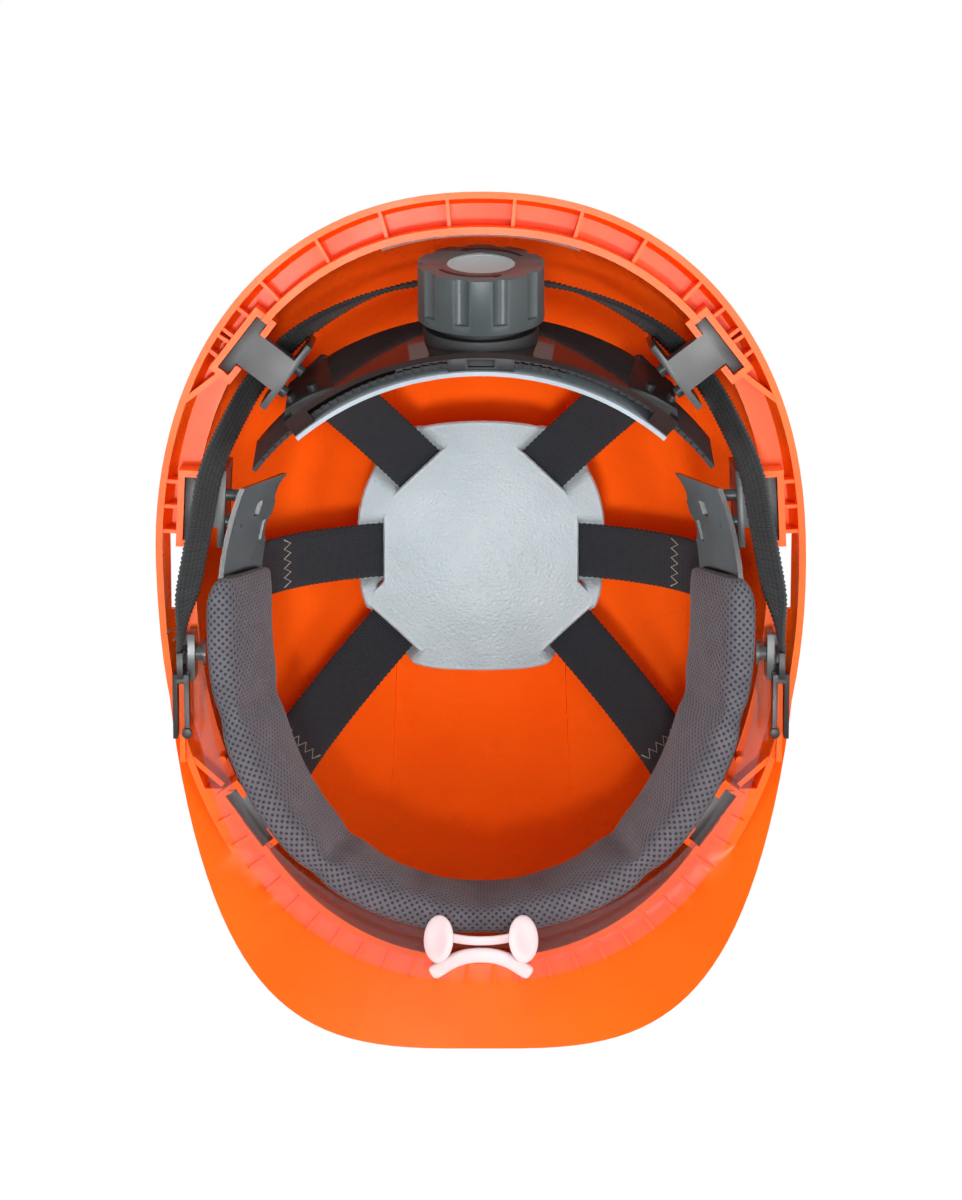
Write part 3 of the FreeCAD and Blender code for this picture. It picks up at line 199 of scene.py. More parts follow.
# Injection-moulded nylon cover of the nape band from a polished mould: near black, warm, mirror-like.
nape_nylon = moulded("nape_nylon", "1f1919", "2a2221", 6.0, 0.03, 0.06, 0.14, IOR=1.53, Coat_Weight=0.8,
                     Coat_Roughness=0.05)
# Injection-moulded polyethylene lining of the nape band: milky grey-blue, light passes a little way in.
lining_polyethylene = moulded("lining_polyethylene", "a3b3bc", "b1c0c8", 2.0, 0.02, 0.2, 0.3, IOR=1.51,
                              Subsurface_Weight=0.2, Subsurface_Radius=(0.4, 0.5, 0.6),
                              Subsurface_Scale=0.003)
# Glass-filled nylon ratchet parts from a spark-eroded mould: black, with a fine matt grain.
eroded_nylon = moulded("eroded_nylon", "1a1c1e", "222527", 0.5, 0.05, 0.45, 0.6, IOR=1.53)
# Injection-moulded acetal spindle parts: waxy off-white.
acetal = moulded("acetal", "c9c8c0", "d6d5cd", 0.8, 0.01, 0.3, 0.4, IOR=1.48)
# Injection-moulded polypropylene knob: dark grey, with a fine matt grain that pales at its edges.
knob_polypropylene = moulded("knob_polypropylene", "3b4547", "465153", 0.6, 0.04, 0.32, 0.45, IOR=1.49)
# Injection-moulded polypropylene cap of the knob: the same grain, and flat to the light; its paler colour is
# painted light, the knob's dark plastic as its face shows when lit.
knob_cap_painted_light = moulded("knob_cap_painted_light", "8d9d9f", "99a9ab", 0.5, 0.05, 0.5, 0.62,
                                 IOR=1.49)
# Injection-moulded clear nylon of the visor's carriers: smoky and see-through.
smoky_nylon = moulded("smoky_nylon", "6d7679", "7f898c", 2.0, 0.02, 0.2, 0.3, IOR=1.53,
                      Transmission_Weight=0.45)
# Moulded nylon hooks and buckle: black and fairly glossy.
hook_nylon = moulded("hook_nylon", "111314", "1a1d1f", 0.8, 0.03, 0.25, 0.4, IOR=1.53)
# Moulded silicone nose bridge: white, soft sheen, light passes a little way in.
white_silicone = moulded("white_silicone", "cfc9cc", "d9d3d6", 0.7, 0.02, 0.38, 0.5, IOR=1.41,
                         Subsurface_Weight=0.5, Subsurface_Radius=(1.0, 0.9, 0.8), Subsurface_Scale=0.004)
# Plain uncoated paper label: warm white and matt.
label_paper = moulded("label_paper", "e9dcd6", "f1e8e3", 0.3, 0.02, 0.6, 0.75)
# Zinc-plated steel screw, turned.
zinc_steel = moulded("zinc_steel", "b4b6b8", "c6c8ca", 0.3, 0.02, 0.25, 0.4, Metallic=1.0)


def make_lens_material():
    """Polished polycarbonate sheet: clear, with a faint smoky cast that gathers where it is seen on edge."""
    material = start_material("clear_polycarbonate", Alpha=0.16, IOR=1.58, Roughness=0.04,
                              Specular_IOR_Level=0.8, Coat_Weight=0.5, Coat_Roughness=0.03)
    mottle(material, "565c60", "666c70", 60)
    return material


clear_polycarbonate = make_lens_material()


# ---------------------------------------------------------------- cloth finishes
def weave_coordinates(material):
    """Millimetres across and along a strip, from its own map."""
    cloth = add_node(material, "UVMap", uv_map="cloth")
    return add_node(material, "SeparateXYZ", {0: cloth.outputs["UV"]})


def ridge(material, source, period):
    """A sine of that period in millimetres, from -1 to 1."""
    turn = add_node(material, "Math", {0: source}, {1: math.tau / period}, operation="MULTIPLY")
    return add_node(material, "Math", {0: turn.outputs[0]}, operation="SINE")


def woven(name, dark, light, across, along, depth, sheen):
    """A plain weave of that thread spacing in millimetres, across and along the strip, with painted shade:
    darker in the low places between its threads.
    """
    material = start_material(name, Roughness=0.75, Sheen_Weight=sheen, Sheen_Roughness=0.5)
    place = weave_coordinates(material)
    warp = ridge(material, place.outputs["X"], 2 * across)
    weft = ridge(material, place.outputs["Y"], 2 * along)
    crossing = add_node(material, "Math", {0: warp.outputs[0], 1: weft.outputs[0]}, operation="MULTIPLY")
    height = add_node(material, "Math", {0: crossing.outputs[0]}, operation="ABSOLUTE")
    # Painted shade: the colour goes dark where the weave's height is low, between the threads.
    mix = add_node(material, "Mix", {0: height.outputs[0]}, data_type="RGBA")
    mix.inputs[COLOUR_A].default_value = colour(dark)
    mix.inputs[COLOUR_B].default_value = colour(light)
    connect(material, mix.outputs[MIXED_COLOUR], "Base Color")
    bump = add_node(material, "Bump", {"Height": height.outputs[0]},
                    {"Strength": 0.9, "Distance": depth * MM})
    connect(material, bump.outputs["Normal"], "Normal")
    return material


# Woven polyester crown webbing: blue-black, threads drawn at 0.8 mm, dry with little sheen.
polyester_webbing = woven("polyester_webbing", "0c1319", "212b34", 0.75, 0.9, 0.3, 0.04)
# Ribbed elastic webbing of the chin strap: charcoal, with ribs across it.
elastic_webbing = woven("elastic_webbing", "12181a", "313b3e", 2.3, 0.8, 0.3, 0.08)
# Spun polyester sewing thread, pale beige on the webbing's ends.
beige_thread = moulded("beige_thread", "8f8577", "a59a8b", 0.4, 0.1, 0.7, 0.8, Sheen_Weight=0.3)
# Black ink pressed on the knob, slightly glossy.
black_print = moulded("black_print", "08090a", "0e0f10", 0.4, 0.02, 0.35, 0.5)
# Spun polyester sewing thread, black and matt, loose at the webbing's end.
black_thread = moulded("black_thread", "17191b", "25282b", 0.4, 0.1, 0.7, 0.8, Sheen_Weight=0.3)


def make_spacer_mesh():
    """Knitted polyester spacer mesh: grey with a violet cast, holes in slanting rows coloured dark as painted
    shade, soft sheen.
    """
    material = start_material("spacer_mesh", Roughness=0.85, Sheen_Weight=0.2, Sheen_Roughness=0.4)
    cloth = add_node(material, "UVMap", uv_map="cloth")
    turned = add_node(material, "Mapping", {"Vector": cloth.outputs["UV"]},
                      {"Rotation": (0, 0, math.radians(45))})
    hole = add_node(material, "TexVoronoi", {"Vector": turned.outputs["Vector"]},
                    {"Scale": 1 / 1.9, "Randomness": 0.1}, feature="F1", voronoi_dimensions="2D")
    rim = add_node(material, "MapRange", {"Value": hole.outputs["Distance"]},
                   {"From Min": 0.12, "From Max": 0.36})
    place = add_node(material, "TexCoord")
    fuzz = add_node(material, "TexNoise", {"Vector": place.outputs["Object"]},
                    {"Scale": per_mm(7), "Detail": 5.0})
    yarn = add_node(material, "Mix", {0: fuzz.outputs["Fac"]}, data_type="RGBA")
    yarn.inputs[COLOUR_A].default_value = colour("474a51")
    yarn.inputs[COLOUR_B].default_value = colour("64656e")
    # Painted shade: near black at the holes, which are not cut, standing in for the shade inside them.
    mix = add_node(material, "Mix", {0: rim.outputs["Result"], COLOUR_B: yarn.outputs[MIXED_COLOUR]},
                   data_type="RGBA")
    mix.inputs[COLOUR_A].default_value = colour("1c1d22")
    connect(material, mix.outputs[MIXED_COLOUR], "Base Color")
    bump = add_node(material, "Bump", {"Height": rim.outputs["Result"]},
                    {"Strength": 0.8, "Distance": 0.5 * MM})
    connect(material, bump.outputs["Normal"], "Normal")
    return material


spacer_mesh = make_spacer_mesh()


def make_pad_leather():
    """Embossed synthetic leather: pale blue-grey, pebbled about 1.5 mm, satin sheen on top of the pebbles."""
    material = start_material("pad_leather", Roughness=0.5, Sheen_Weight=0.15, IOR=1.5)
    place = mottle(material, "a4b8be", "b0c3c9", 30, 0.4)
    pebble = add_node(material, "TexVoronoi", {"Vector": place.outputs["Object"]}, {"Scale": per_mm(1.7)},
                      feature="DISTANCE_TO_EDGE")
    crease = add_node(material, "TexNoise", {"Vector": place.outputs["Object"]},
                      {"Scale": per_mm(3.5), "Detail": 4.0, "Distortion": 0.6})
    height = add_node(material, "Math", {0: pebble.outputs["Distance"], 1: crease.outputs["Fac"]},
                      operation="ADD")
    bump = add_node(material, "Bump", {"Height": height.outputs[0]},
                    {"Strength": 0.9, "Distance": 0.5 * MM})
    connect(material, bump.outputs["Normal"], "Normal")
    return material


pad_leather = make_pad_leather()

FINISHES = {
    "shell_orange": orange_abs, "label_white": label_paper, "pad_leather": pad_leather,
    "band_plastic": band_polyethylene, "sweatband_mesh": spacer_mesh, "nape_gloss": nape_nylon,
    "lining_plastic": lining_polyethylene, "rack_plastic": eroded_nylon, "ratchet_black": eroded_nylon,
    "spindle_plastic": acetal, "screw_steel": zinc_steel, "knob_plastic": knob_polypropylene,
    "knob_cap_plastic": knob_cap_painted_light, "lens_clear": clear_polycarbonate,
    "nose_silicone": white_silicone, "carrier_plastic": smoky_nylon, "chin_webbing": elastic_webbing,
    "hook_plastic": hook_nylon, "hanger_plastic": hanger_polyethylene, "crown_webbing": polyester_webbing,
}
SLOTS = {part["node"]: part["material_slot"] for part in frame["record"]["subparts"]}
for node, part in frame["nodes"].items():
    part.data.materials.clear()
    part.data.materials.append(FINISHES[SLOTS[node]])


# Corner radii in millimetres of the mouldings whose edges show.
CORNER_RADII = {
    "latch_block": 0.3, "knob_cap": 0.2, "ratchet_housing": 0.5, "visor_carrier_left": 0.5,
    "visor_carrier_right": 0.5, "chin_strap_slider": 0.5, "chin_hook_left": 0.4, "chin_hook_right": 0.4,
    "hanger_rear_left": 0.5, "hanger_rear_right": 0.5, "hanger_side_left": 0.5, "hanger_side_right": 0.5,
    "hanger_front_left": 0.5, "hanger_front_right": 0.5, "knob": 0.5,
}


# Edges sharper than the first angle get a corner radius, and those sharper than the second stay crisp.
CORNER_ANGLE = math.radians(50)
CREASE_ANGLE = math.radians(32)


def smooth_moulding(node, part):
    """Joins a CAD node's loose triangles, rounds its corners and shades its curved faces smoothly."""
    for face in part.data.polygons:
        face.use_smooth = True
    weld = part.modifiers.new("weld", "WELD")
    weld.merge_threshold = 0.00001
    if node in CORNER_RADII:
        corner = part.modifiers.new("corner", "BEVEL")
        corner.width = CORNER_RADII[node] * MM
        corner.segments = 2
        corner.limit_method = "ANGLE"
        corner.angle_limit = CORNER_ANGLE
    split = part.modifiers.new("split", "EDGE_SPLIT")
    split.split_angle = CREASE_ANGLE


for node, part in frame["nodes"].items():
    smooth_moulding(node, part)


# ---------------------------------------------------------------- soft strips
def link_mesh(name, points, faces, corner_uvs, material):
    """A mesh object at the origin; points in millimetres, with a cloth map in millimetres."""
    mesh = bpy.data.meshes.new(name)
    mesh.from_pydata([Vector(p) * MM for p in points], [], faces)
    cloth = mesh.uv_layers.new(name="cloth")
    for loop, uv in zip(cloth.data, corner_uvs):
        loop.uv = uv
    mesh.materials.append(material)
    mesh.validate()
    piece = bpy.data.objects.new(name, mesh)
    bpy.context.collection.objects.link(piece)
    for face in mesh.polygons:
        face.use_smooth = True
    return piece


def running_girth(ring):
    """Length round a closed section at each of its points, and all the way round."""
    girth = [0.0]
    for here, there in zip(ring, ring[1:] + ring[:1]):
        girth.append(girth[-1] + math.dist(here, there))
    return girth


def sweep(name, stations, section, material):
    """Carries a closed section along stations of (centre, across, up); section(index) is in millimetres."""
    points, rings = [], []
    length = 0.0
    for index, (centre, across, up) in enumerate(stations):
        if index:
            length += (Vector(centre) - Vector(stations[index - 1][0])).length
        ring = section(index)
        rings.append((len(points), length))
        points += [Vector(centre) + Vector(across) * a + Vector(up) * b for a, b in ring]
    ring = section(0)
    size = len(ring)
    girth = running_girth(ring)
    faces, uvs = [], []
    for (start, v0), (after, v1) in zip(rings, rings[1:]):
        for k in range(size):
            n = (k + 1) % size
            faces.append((start + k, start + n, after + n, after + k))
            uvs += [(girth[k], v0), (girth[k + 1], v0), (girth[k + 1], v1), (girth[k], v1)]
    for start, v in (rings[0], rings[-1]):
        cap = [start + k for k in range(size)]
        cap_uvs = [(a, v + b) for a, b in ring]
        if start == 0:
            cap.reverse()
            cap_uvs.reverse()
        faces.append(tuple(cap))
        uvs += cap_uvs
    return link_mesh(name, points, faces, uvs, material)


def strip_section(half_width, thick, steps=6):
    """A flat strip's section with rounded edges, from its outer face round."""
    half = thick / 2
    across = [half_width * (2 * k / steps - 1) for k in range(steps + 1)]
    top = [(a * (1 - 0.4 * half / half_width), half) for a in across]
    bottom = [(a, -b) for a, b in reversed(top)]
    return top + [(half_width, 0.0)] + bottom + [(-half_width, 0.0)]


def outward(piece):
    """Turns a closed piece's faces outward."""
    bpy.ops.object.select_all(action="DESELECT")
    bpy.context.view_layer.objects.active = piece
    piece.select_set(True)
    bpy.ops.object.mode_set(mode="EDIT")
    bpy.ops.mesh.select_all(action="SELECT")
    bpy.ops.mesh.normals_make_consistent(inside=False)
    bpy.ops.object.mode_set(mode="OBJECT")
    return piece


# Crown webbings, in millimetres: the picots are the loops of thread along a webbing's edges.
WEBBING_HALF = 10.0
WEBBING_THICK = 1.2
PICOT_SPACING = 1.1
PICOT = 0.32
CROWN = 103.0
STRAPS = {
    # name: end, other end, height of the ends, layer at the crossing
    "webbing_side": ((80.5, 8.5), (-80.5, 8.5), 32.0, 0),
    "webbing_diagonal_a": ((61.75, 80.2), (-70.75, -61.5), 27.0, 1),
    "webbing_diagonal_b": ((-61.75, 80.2), (70.75, -61.5), 27.0, 2),
}
LAYER = 2.1
CROSSING_SPREAD = 30.0


def strap_line(name):
    """Middle of a strap on plan, its unit direction and its half length."""
    start, end = STRAPS[name][:2]
    middle = (Vector(start) + Vector(end)) / 2
    along = (Vector(end) - Vector(start)).normalized()
    return middle, along, (Vector(end) - Vector(start)).length / 2


def strap_height(name, distance):
    """Height of a strap's middle surface at that distance from its own middle."""
    base, layer = STRAPS[name][2:]
    half = strap_line(name)[2]
    share = min(abs(distance) / half, 1.0)
    lift = layer * LAYER * math.exp(-(distance / CROSSING_SPREAD) ** 4)
    return base + (CROWN - base - WEBBING_THICK / 2) * math.sqrt(1 - share ** 2) + lift


def strap_stations(name, first, last):
    """Stations along a strap's arch between two turns of its ellipse, spaced for the picot edge."""
    middle, along, half = strap_line(name)
    spots = []
    fine = 1600
    for k in range(fine + 1):
        turn = math.pi * (first + (last - first) * k / fine)
        distance = -half * math.cos(turn)
        plan = middle + along * distance
        spots.append(Vector((plan.x, plan.y, strap_height(name, distance))))
    stations, travelled = [], 0.0
    across = Vector((-along.y, along.x, 0))
    for before, here in zip(spots, spots[1:]):
        travelled += (here - before).length
        if travelled >= PICOT_SPACING * len(stations):
            forward = (here - before).normalized()
            up = across.cross(forward) * -1
            if up.z < 0 and abs(forward.z) < 0.98:
                up = -up
            stations.append((here, across, up))
    return stations


def make_strap(name, material):
    """A crown webbing, wide and narrow by turns for its picot edge."""
    stations = strap_stations(name, 0.01, 0.99)
    wide = strip_section(WEBBING_HALF, WEBBING_THICK)
    narrow = strip_section(WEBBING_HALF - PICOT, WEBBING_THICK)
    strap = sweep("crown_" + name, stations, lambda index: wide if index % 2 else narrow, material)
    return outward(strap)


for name in STRAPS:
    strap = make_strap(name, polyester_webbing)
    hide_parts(name)
    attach(strap, "root")


# ---------------------------------------------------------------- crown pad
PAD_CENTRE = Vector((0, 11, 0))
PAD_HALF = 46.0
PAD_BALL = 88.0
PAD_TOP = 100.8
PAD_THICK = 1.4
SLIT_HALF = 13.5
SLITS = (
    # strap, side of its middle that the slit is on, distance of the slit from the pad's middle
    ("webbing_side", -1, 35.5), ("webbing_side", 1, 35.5),
    ("webbing_diagonal_a", -1, 39.5), ("webbing_diagonal_a", 1, 39.5),
    ("webbing_diagonal_b", -1, 39.5), ("webbing_diagonal_b", 1, 39.5),
)


def pad_radius(turn):
    """The pad's rounded eight-sided outline, a little longer than wide."""
    across, along = abs(math.cos(turn)), abs(math.sin(turn))
    sides = [across / 0.985, along / 1.0, (across + 0.62 * along) / 1.24, (0.5 * across + along) / 1.27]
    return PAD_HALF / sum(side ** 14 for side in sides) ** (1 / 14)


def smooth_step(low, high, value):
    """0 below low, 1 above high, and smooth between."""
    share = min(max((value - low) / (high - low), 0.0), 1.0)
    return share * share * (3 - 2 * share)


def slit_place(spot, slit):
    """Distance of a plan point along its slit's strap, and to the strap's side."""
    name, side = slit[:2]
    middle, along = strap_line(name)[:2]
    offset = Vector(spot) - middle
    return offset.dot(along) * side, abs(offset.dot(Vector((-along.y, along.x))))


def make_crown_pad():
    """The pad in two rings of faces, joined except at its six slits, where the outer ring lifts as a tab."""
    inner, outer, count = 22, 6, 240
    columns = []
    for k in range(count):
        turn = 2 * math.pi * k / count
        heading = Vector((math.cos(turn), math.sin(turn)))
        ring = 0.80 * pad_radius(turn)
        owner = None
        for slit in SLITS:
            name, side, reach = slit
            middle, along = strap_line(name)[:2]
            lean = heading.dot(along * side)
            if lean > 0.9:
                distance = (reach - (PAD_CENTRE.xy - middle).dot(along * side)) / lean
                spot = PAD_CENTRE.xy + heading * distance
                sideways = slit_place(spot, slit)[1]
                weight = 1 - smooth_step(SLIT_HALF + 0.5, SLIT_HALF + 6, sideways)
                ring = ring + (distance - ring) * weight
                if sideways < SLIT_HALF:
                    owner = slit
        columns.append((heading, ring, pad_radius(turn), owner))
    points, faces = [], []

    def height(spot, outside):
        base = PAD_TOP - PAD_BALL + math.sqrt(PAD_BALL ** 2 - (Vector(spot) - PAD_CENTRE.xy).length_squared)
        base += 0.35 * noise.noise(Vector((spot[0] * 0.09, spot[1] * 0.09, 3.0)))
        if not outside:
            return base
        lift = 0.0
        for slit in SLITS:
            distance, sideways = slit_place(spot, slit)
            if distance > 20:
                over = strap_height(slit[0], distance) + WEBBING_THICK / 2 + 0.5 + PAD_THICK - base
                lift = max(lift, over * (1 - smooth_step(10.6, SLIT_HALF, sideways)))
        return base + lift

    def add(spot, outside):
        points.append((spot[0], spot[1], height(spot, outside)))
        return len(points) - 1

    centre = add(PAD_CENTRE.xy, False)
    table = []
    for heading, ring, edge, owner in columns:
        column = [add(PAD_CENTRE.xy + heading * ring * j / inner, False) for j in range(1, inner + 1)]
        start = add(PAD_CENTRE.xy + heading * ring, True) if owner else column[-1]
        rim = [start] + [add(PAD_CENTRE.xy + heading * (ring + (edge - ring) * j / outer), True)
                         for j in range(1, outer + 1)]
        table.append((column, rim))
    for k in range(count):
        (column, rim), (next_column, next_rim) = table[k], table[(k + 1) % count]
        faces.append((centre, column[0], next_column[0]))
        for j in range(inner - 1):
            faces.append((column[j], column[j + 1], next_column[j + 1], next_column[j]))
        for j in range(outer):
            faces.append((rim[j], rim[j + 1], next_rim[j + 1], next_rim[j]))
    uvs = [(points[v][0], points[v][1]) for face in faces for v in face]
    pad = link_mesh("crown_pad_leather", points, faces, uvs, pad_leather)
    thickness = pad.modifiers.new("thickness", "SOLIDIFY")
    thickness.thickness = PAD_THICK * MM
    thickness.offset = -1
    rounding = pad.modifiers.new("rounding", "BEVEL")
    rounding.width = 0.3 * MM
    rounding.segments = 2
    rounding.limit_method = "ANGLE"
    rounding.angle_limit = math.radians(60)
    return pad


pad = make_crown_pad()
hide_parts("crown_pad")
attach(pad, "root")


# ---------------------------------------------------------------- sweatband
BAND_POWER = 2.15
BAND_HALF_WIDTH, BAND_FRONT, BAND_REAR = 89.0, 104.0, 101.0
BAND_LEAN = 11.0
BAND_LOW, BAND_HEIGHT = -6.0, 36.0


def band_point(turn, inset, z):
    """A point on the leaning outline of the headband; turn 0 is at its front, towards the left."""
    share = (z - BAND_LOW) / BAND_HEIGHT
    x, y = math.sin(turn), -math.cos(turn)
    wide = BAND_HALF_WIDTH - BAND_LEAN * share - inset
    long = (BAND_FRONT if y < 0 else BAND_REAR - BAND_LEAN * share) - inset
    power = 2 / BAND_POWER
    return Vector((wide * math.copysign(abs(x) ** power, x), long * math.copysign(abs(y) ** power, y), z))


# Section of the foam: (inset from the headband's outer face, height), round the headband's lower edge.
FOAM = [
    (1.95, 29.0), (1.95, 20.0), (1.95, 10.0), (1.95, 2.0), (1.95, -5.0), (1.2, -6.5), (-0.2, -6.4),
    (-0.6, -4.8), (-1.4, -3.4), (-2.8, -3.6), (-3.6, -5.4), (-3.0, -7.6), (-1.0, -9.0), (1.6, -9.2),
    (4.4, -8.8), (6.2, -7.2), (6.9, -4.0), (6.9, 2.0), (6.9, 8.0), (6.9, 14.0), (6.9, 20.0), (6.7, 26.0),
    (5.8, 29.8), (3.8, 31.2),
]
FOAM_CORE = 3.2
FOAM_END = 98.5
FOAM_STATIONS = 116
# Where the foam is stitched down, in degrees from its front, and the width of each dent.
TUCKS = (-74, -37, 37, 74)
TUCK_WIDTH = 2.6


def make_sweatband():
    """The foam's closed tube round the headband, drawn in at its tucks and tapered at its ends."""
    last = math.radians(FOAM_END)
    count = FOAM_STATIONS
    points, faces, uvs = [], [], []
    length = 0.0
    girth = running_girth(FOAM)
    lengths = []
    before = None
    for k in range(count + 1):
        turn = last * (2 * k / count - 1)
        pull = sum(math.exp(-((math.degrees(turn) - tuck) / TUCK_WIDTH) ** 2) for tuck in TUCKS)
        pull += 0.25 * math.exp(-(math.degrees(turn) / 2.0) ** 2)
        end = min(k, count - k)
        taper = [0.0, 0.55, 0.85][end] if end < 3 else 1.0
        for inset, z in FOAM:
            depth = inset
            if inset > 4.5:
                depth = inset - 2.4 * pull * (1 if z < 26 else 0.5)
            elif inset < 1.0:
                depth = inset + 0.9 * pull
            height = z + (1.8 * pull if z < -7 else 0) - (1.2 * pull if z > 26 else 0)
            depth = FOAM_CORE + (depth - FOAM_CORE) * (0.35 + 0.65 * taper)
            points.append(band_point(turn, depth, height))
        here = band_point(turn, 0, 0)
        length += (here - before).length if before else 0.0
        before = here
        lengths.append(length)
    size = len(FOAM)
    for k in range(count):
        for j in range(size):
            n = (j + 1) % size
            faces.append((k * size + j, k * size + n, (k + 1) * size + n, (k + 1) * size + j))
            uvs += [(girth[j], lengths[k]), (girth[j + 1], lengths[k]),
                    (girth[j + 1], lengths[k + 1]), (girth[j], lengths[k + 1])]
    for start, flip in ((0, True), (count * size, False)):
        cap = [start + j for j in range(size)]
        if flip:
            cap.reverse()
        faces.append(tuple(cap))
        uvs += [(0.0, 0.0)] * size
    foam = link_mesh("sweatband_foam", points, faces, uvs, spacer_mesh)
    return outward(foam)


PUFF_FRAMES = 14
PUFF_CAP = 1.6 * MM
# The foam is held within this many degrees of a tuck, and past this turn at its ends.
HELD_BY_TUCK, HELD_BY_END = 2.0, 96


def puff(piece):
    """Lets a closed cloth piece swell round its tucks and keeps the shape; no point moves past the cap."""
    rest = [v.co.copy() for v in piece.data.vertices]
    cloth = piece.modifiers.new("cloth", "CLOTH")
    settings = cloth.settings
    settings.quality = 6
    settings.mass = 0.2
    settings.tension_stiffness = 12
    settings.compression_stiffness = 12
    settings.bending_stiffness = 1.5
    settings.use_pressure = True
    settings.uniform_pressure_force = 4
    settings.effector_weights.gravity = 0
    held = piece.vertex_groups.new(name="held")
    for v in piece.data.vertices:
        x, y, z = v.co / MM
        turn = math.degrees(math.atan2(x, -y))
        near_tuck = any(abs(turn - tuck) < HELD_BY_TUCK for tuck in TUCKS)
        if near_tuck or abs(turn) > HELD_BY_END:
            held.add([v.index], 1.0, "REPLACE")
    settings.vertex_group_mass = "held"
    scene = bpy.context.scene
    for step in range(1, PUFF_FRAMES + 1):
        scene.frame_set(step)
    swollen = piece.evaluated_get(bpy.context.evaluated_depsgraph_get()).data
    moved = [v.co.copy() for v in swollen.vertices]
    piece.modifiers.remove(cloth)
    for v, start, end in zip(piece.data.vertices, rest, moved):
        step = end - start
        v.co = start + step * min(1.0, PUFF_CAP / max(step.length, 1e-9))
    scene.frame_set(1)


foam = make_sweatband()
puff(foam)
smoothing = foam.modifiers.new("smoothing", "SUBSURF")
smoothing.levels = smoothing.render_levels = 2
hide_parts("sweatband")
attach(foam, "root")


# ---------------------------------------------------------------- chin strap
STRAP_ROUTE = [(101.6, -7.5, -4.0), (99.8, 4, -6.0), (96.2, 22, -9.5), (93.0, 38, -10.5), (90.4, 53, -5.0),
               (84.0, 67, 8.0), (76.0, 81, 20.0), (63.0, 95, 25.5), (45.0, 105.5, 27.0), (26.0, 112.0, 27.5),
               (9.5, 113.5, 27.5)]


def smooth_route(route, spacing):
    """Points at even spacing along a smooth curve through the route, in millimetres."""
    curve = bpy.data.curves.new("route", "CURVE")
    curve.dimensions = "3D"
    spline = curve.splines.new("NURBS")
    spline.points.add(len(route) - 1)
    for point, place in zip(spline.points, route):
        point.co = (*place, 1)
    spline.order_u = 3
    spline.use_endpoint_u = True
    spline.resolution_u = 24
    holder = bpy.data.objects.new("route", curve)
    bpy.context.collection.objects.link(holder)
    bpy.context.view_layer.update()
    drawn = holder.evaluated_get(bpy.context.evaluated_depsgraph_get()).to_mesh()
    line = [v.co.copy() for v in drawn.vertices]
    bpy.data.objects.remove(holder)
    even, travelled = [line[0]], 0.0
    for before, here in zip(line, line[1:]):
        travelled += (here - before).length
        if travelled >= spacing * len(even):
            even.append(here)
    return even


STRAP_TILT = math.radians(32)


def ribbon_stations(line, sign):
    """Stations of a strap that stands on edge and leans in, so that its outer face shows from below."""
    stations = []
    for k, here in enumerate(line):
        before, after = line[max(k - 1, 0)], line[min(k + 1, len(line) - 1)]
        along = (after - before).normalized()
        side = along.cross(Vector((0, 0, 1))).normalized()
        up = side.cross(along).normalized()
        lean = STRAP_TILT * smooth_step(0, 30, k) * smooth_step(0, 90, len(line) - k)
        across = up * math.cos(lean) - side * math.sin(lean)
        face = side * math.cos(lean) + up * math.sin(lean)
        drop = 2.5 * smooth_step(0, 20, k) * smooth_step(0, 60, len(line) - k)
        place = Vector((here.x * sign, here.y, here.z - drop))
        stations.append((place, Vector((across.x * sign, across.y, across.z)),
                         Vector((face.x * sign, face.y, face.z))))
    return stations


def make_chin_strap(side, sign):
    """A ribbed chin strap: each rib is thicker and wider than the valley beside it."""
    line = smooth_route(STRAP_ROUTE, 0.8)
    rib, valley = strip_section(6.6, 2.0, 4), strip_section(6.3, 1.1, 4)
    strap = sweep("chin_webbing_" + side, ribbon_stations(line, sign),
                  lambda index: rib if index % 2 else valley, elastic_webbing)
    return outward(strap)


for side, sign in (("left", 1), ("right", -1)):
    strap = make_chin_strap(side, sign)
    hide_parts("chin_strap_" + side)
    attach(strap, "root")


# ---------------------------------------------------------------- sewing threads
def thread(name, route, radius, material):
    """A round thread along points, in millimetres."""
    stations = []
    for k, here in enumerate(route):
        along = (Vector(route[min(k + 1, len(route) - 1)]) - Vector(route[max(k - 1, 0)])).normalized()
        side = along.orthogonal() if k == 0 else stations[-1][1] - along * stations[-1][1].dot(along)
        side = side.normalized()
        stations.append((Vector(here), side, along.cross(side)))
    ring = [(radius * math.cos(math.tau * k / 6), radius * math.sin(math.tau * k / 6)) for k in range(6)]
    return outward(sweep(name, stations, lambda index: ring, material))


def seam(name, strap, distance, steps=10):
    """A zigzag seam across a crown webbing, on the side towards the head."""
    middle, along = strap_line(strap)[:2]
    route = []
    for k in range(steps + 1):
        spot = distance + (1.1 if k % 2 else -1.1)
        plan = middle + along * spot + Vector((-along.y, along.x)) * (8.6 * (2 * k / steps - 1))
        route.append((plan.x, plan.y, strap_height(strap, spot) - WEBBING_THICK / 2 - 0.55))
    piece = thread(name, route, 0.28, beige_thread)
    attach(piece, "root")


seam("seam_side_left", "webbing_side", -69.0)
seam("seam_side_right", "webbing_side", 69.0)
for strap in ("webbing_diagonal_a", "webbing_diagonal_b"):
    seam("seam_" + strap, strap, 88.0)

LOOSE_THREADS = (
    [(100.6, 1.0, -13.5), (102.2, -0.4, -14.3), (103.9, 0.1, -14.6), (105.3, -1.4, -14.2)],
    [(100.8, -0.6, -13.8), (102.0, -2.4, -14.6), (103.0, -3.6, -14.1)],
)
for number, route in enumerate(LOOSE_THREADS, start=1):
    piece = thread("loose_thread_%d" % number, route, 0.25, black_thread)
    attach(piece, "root")


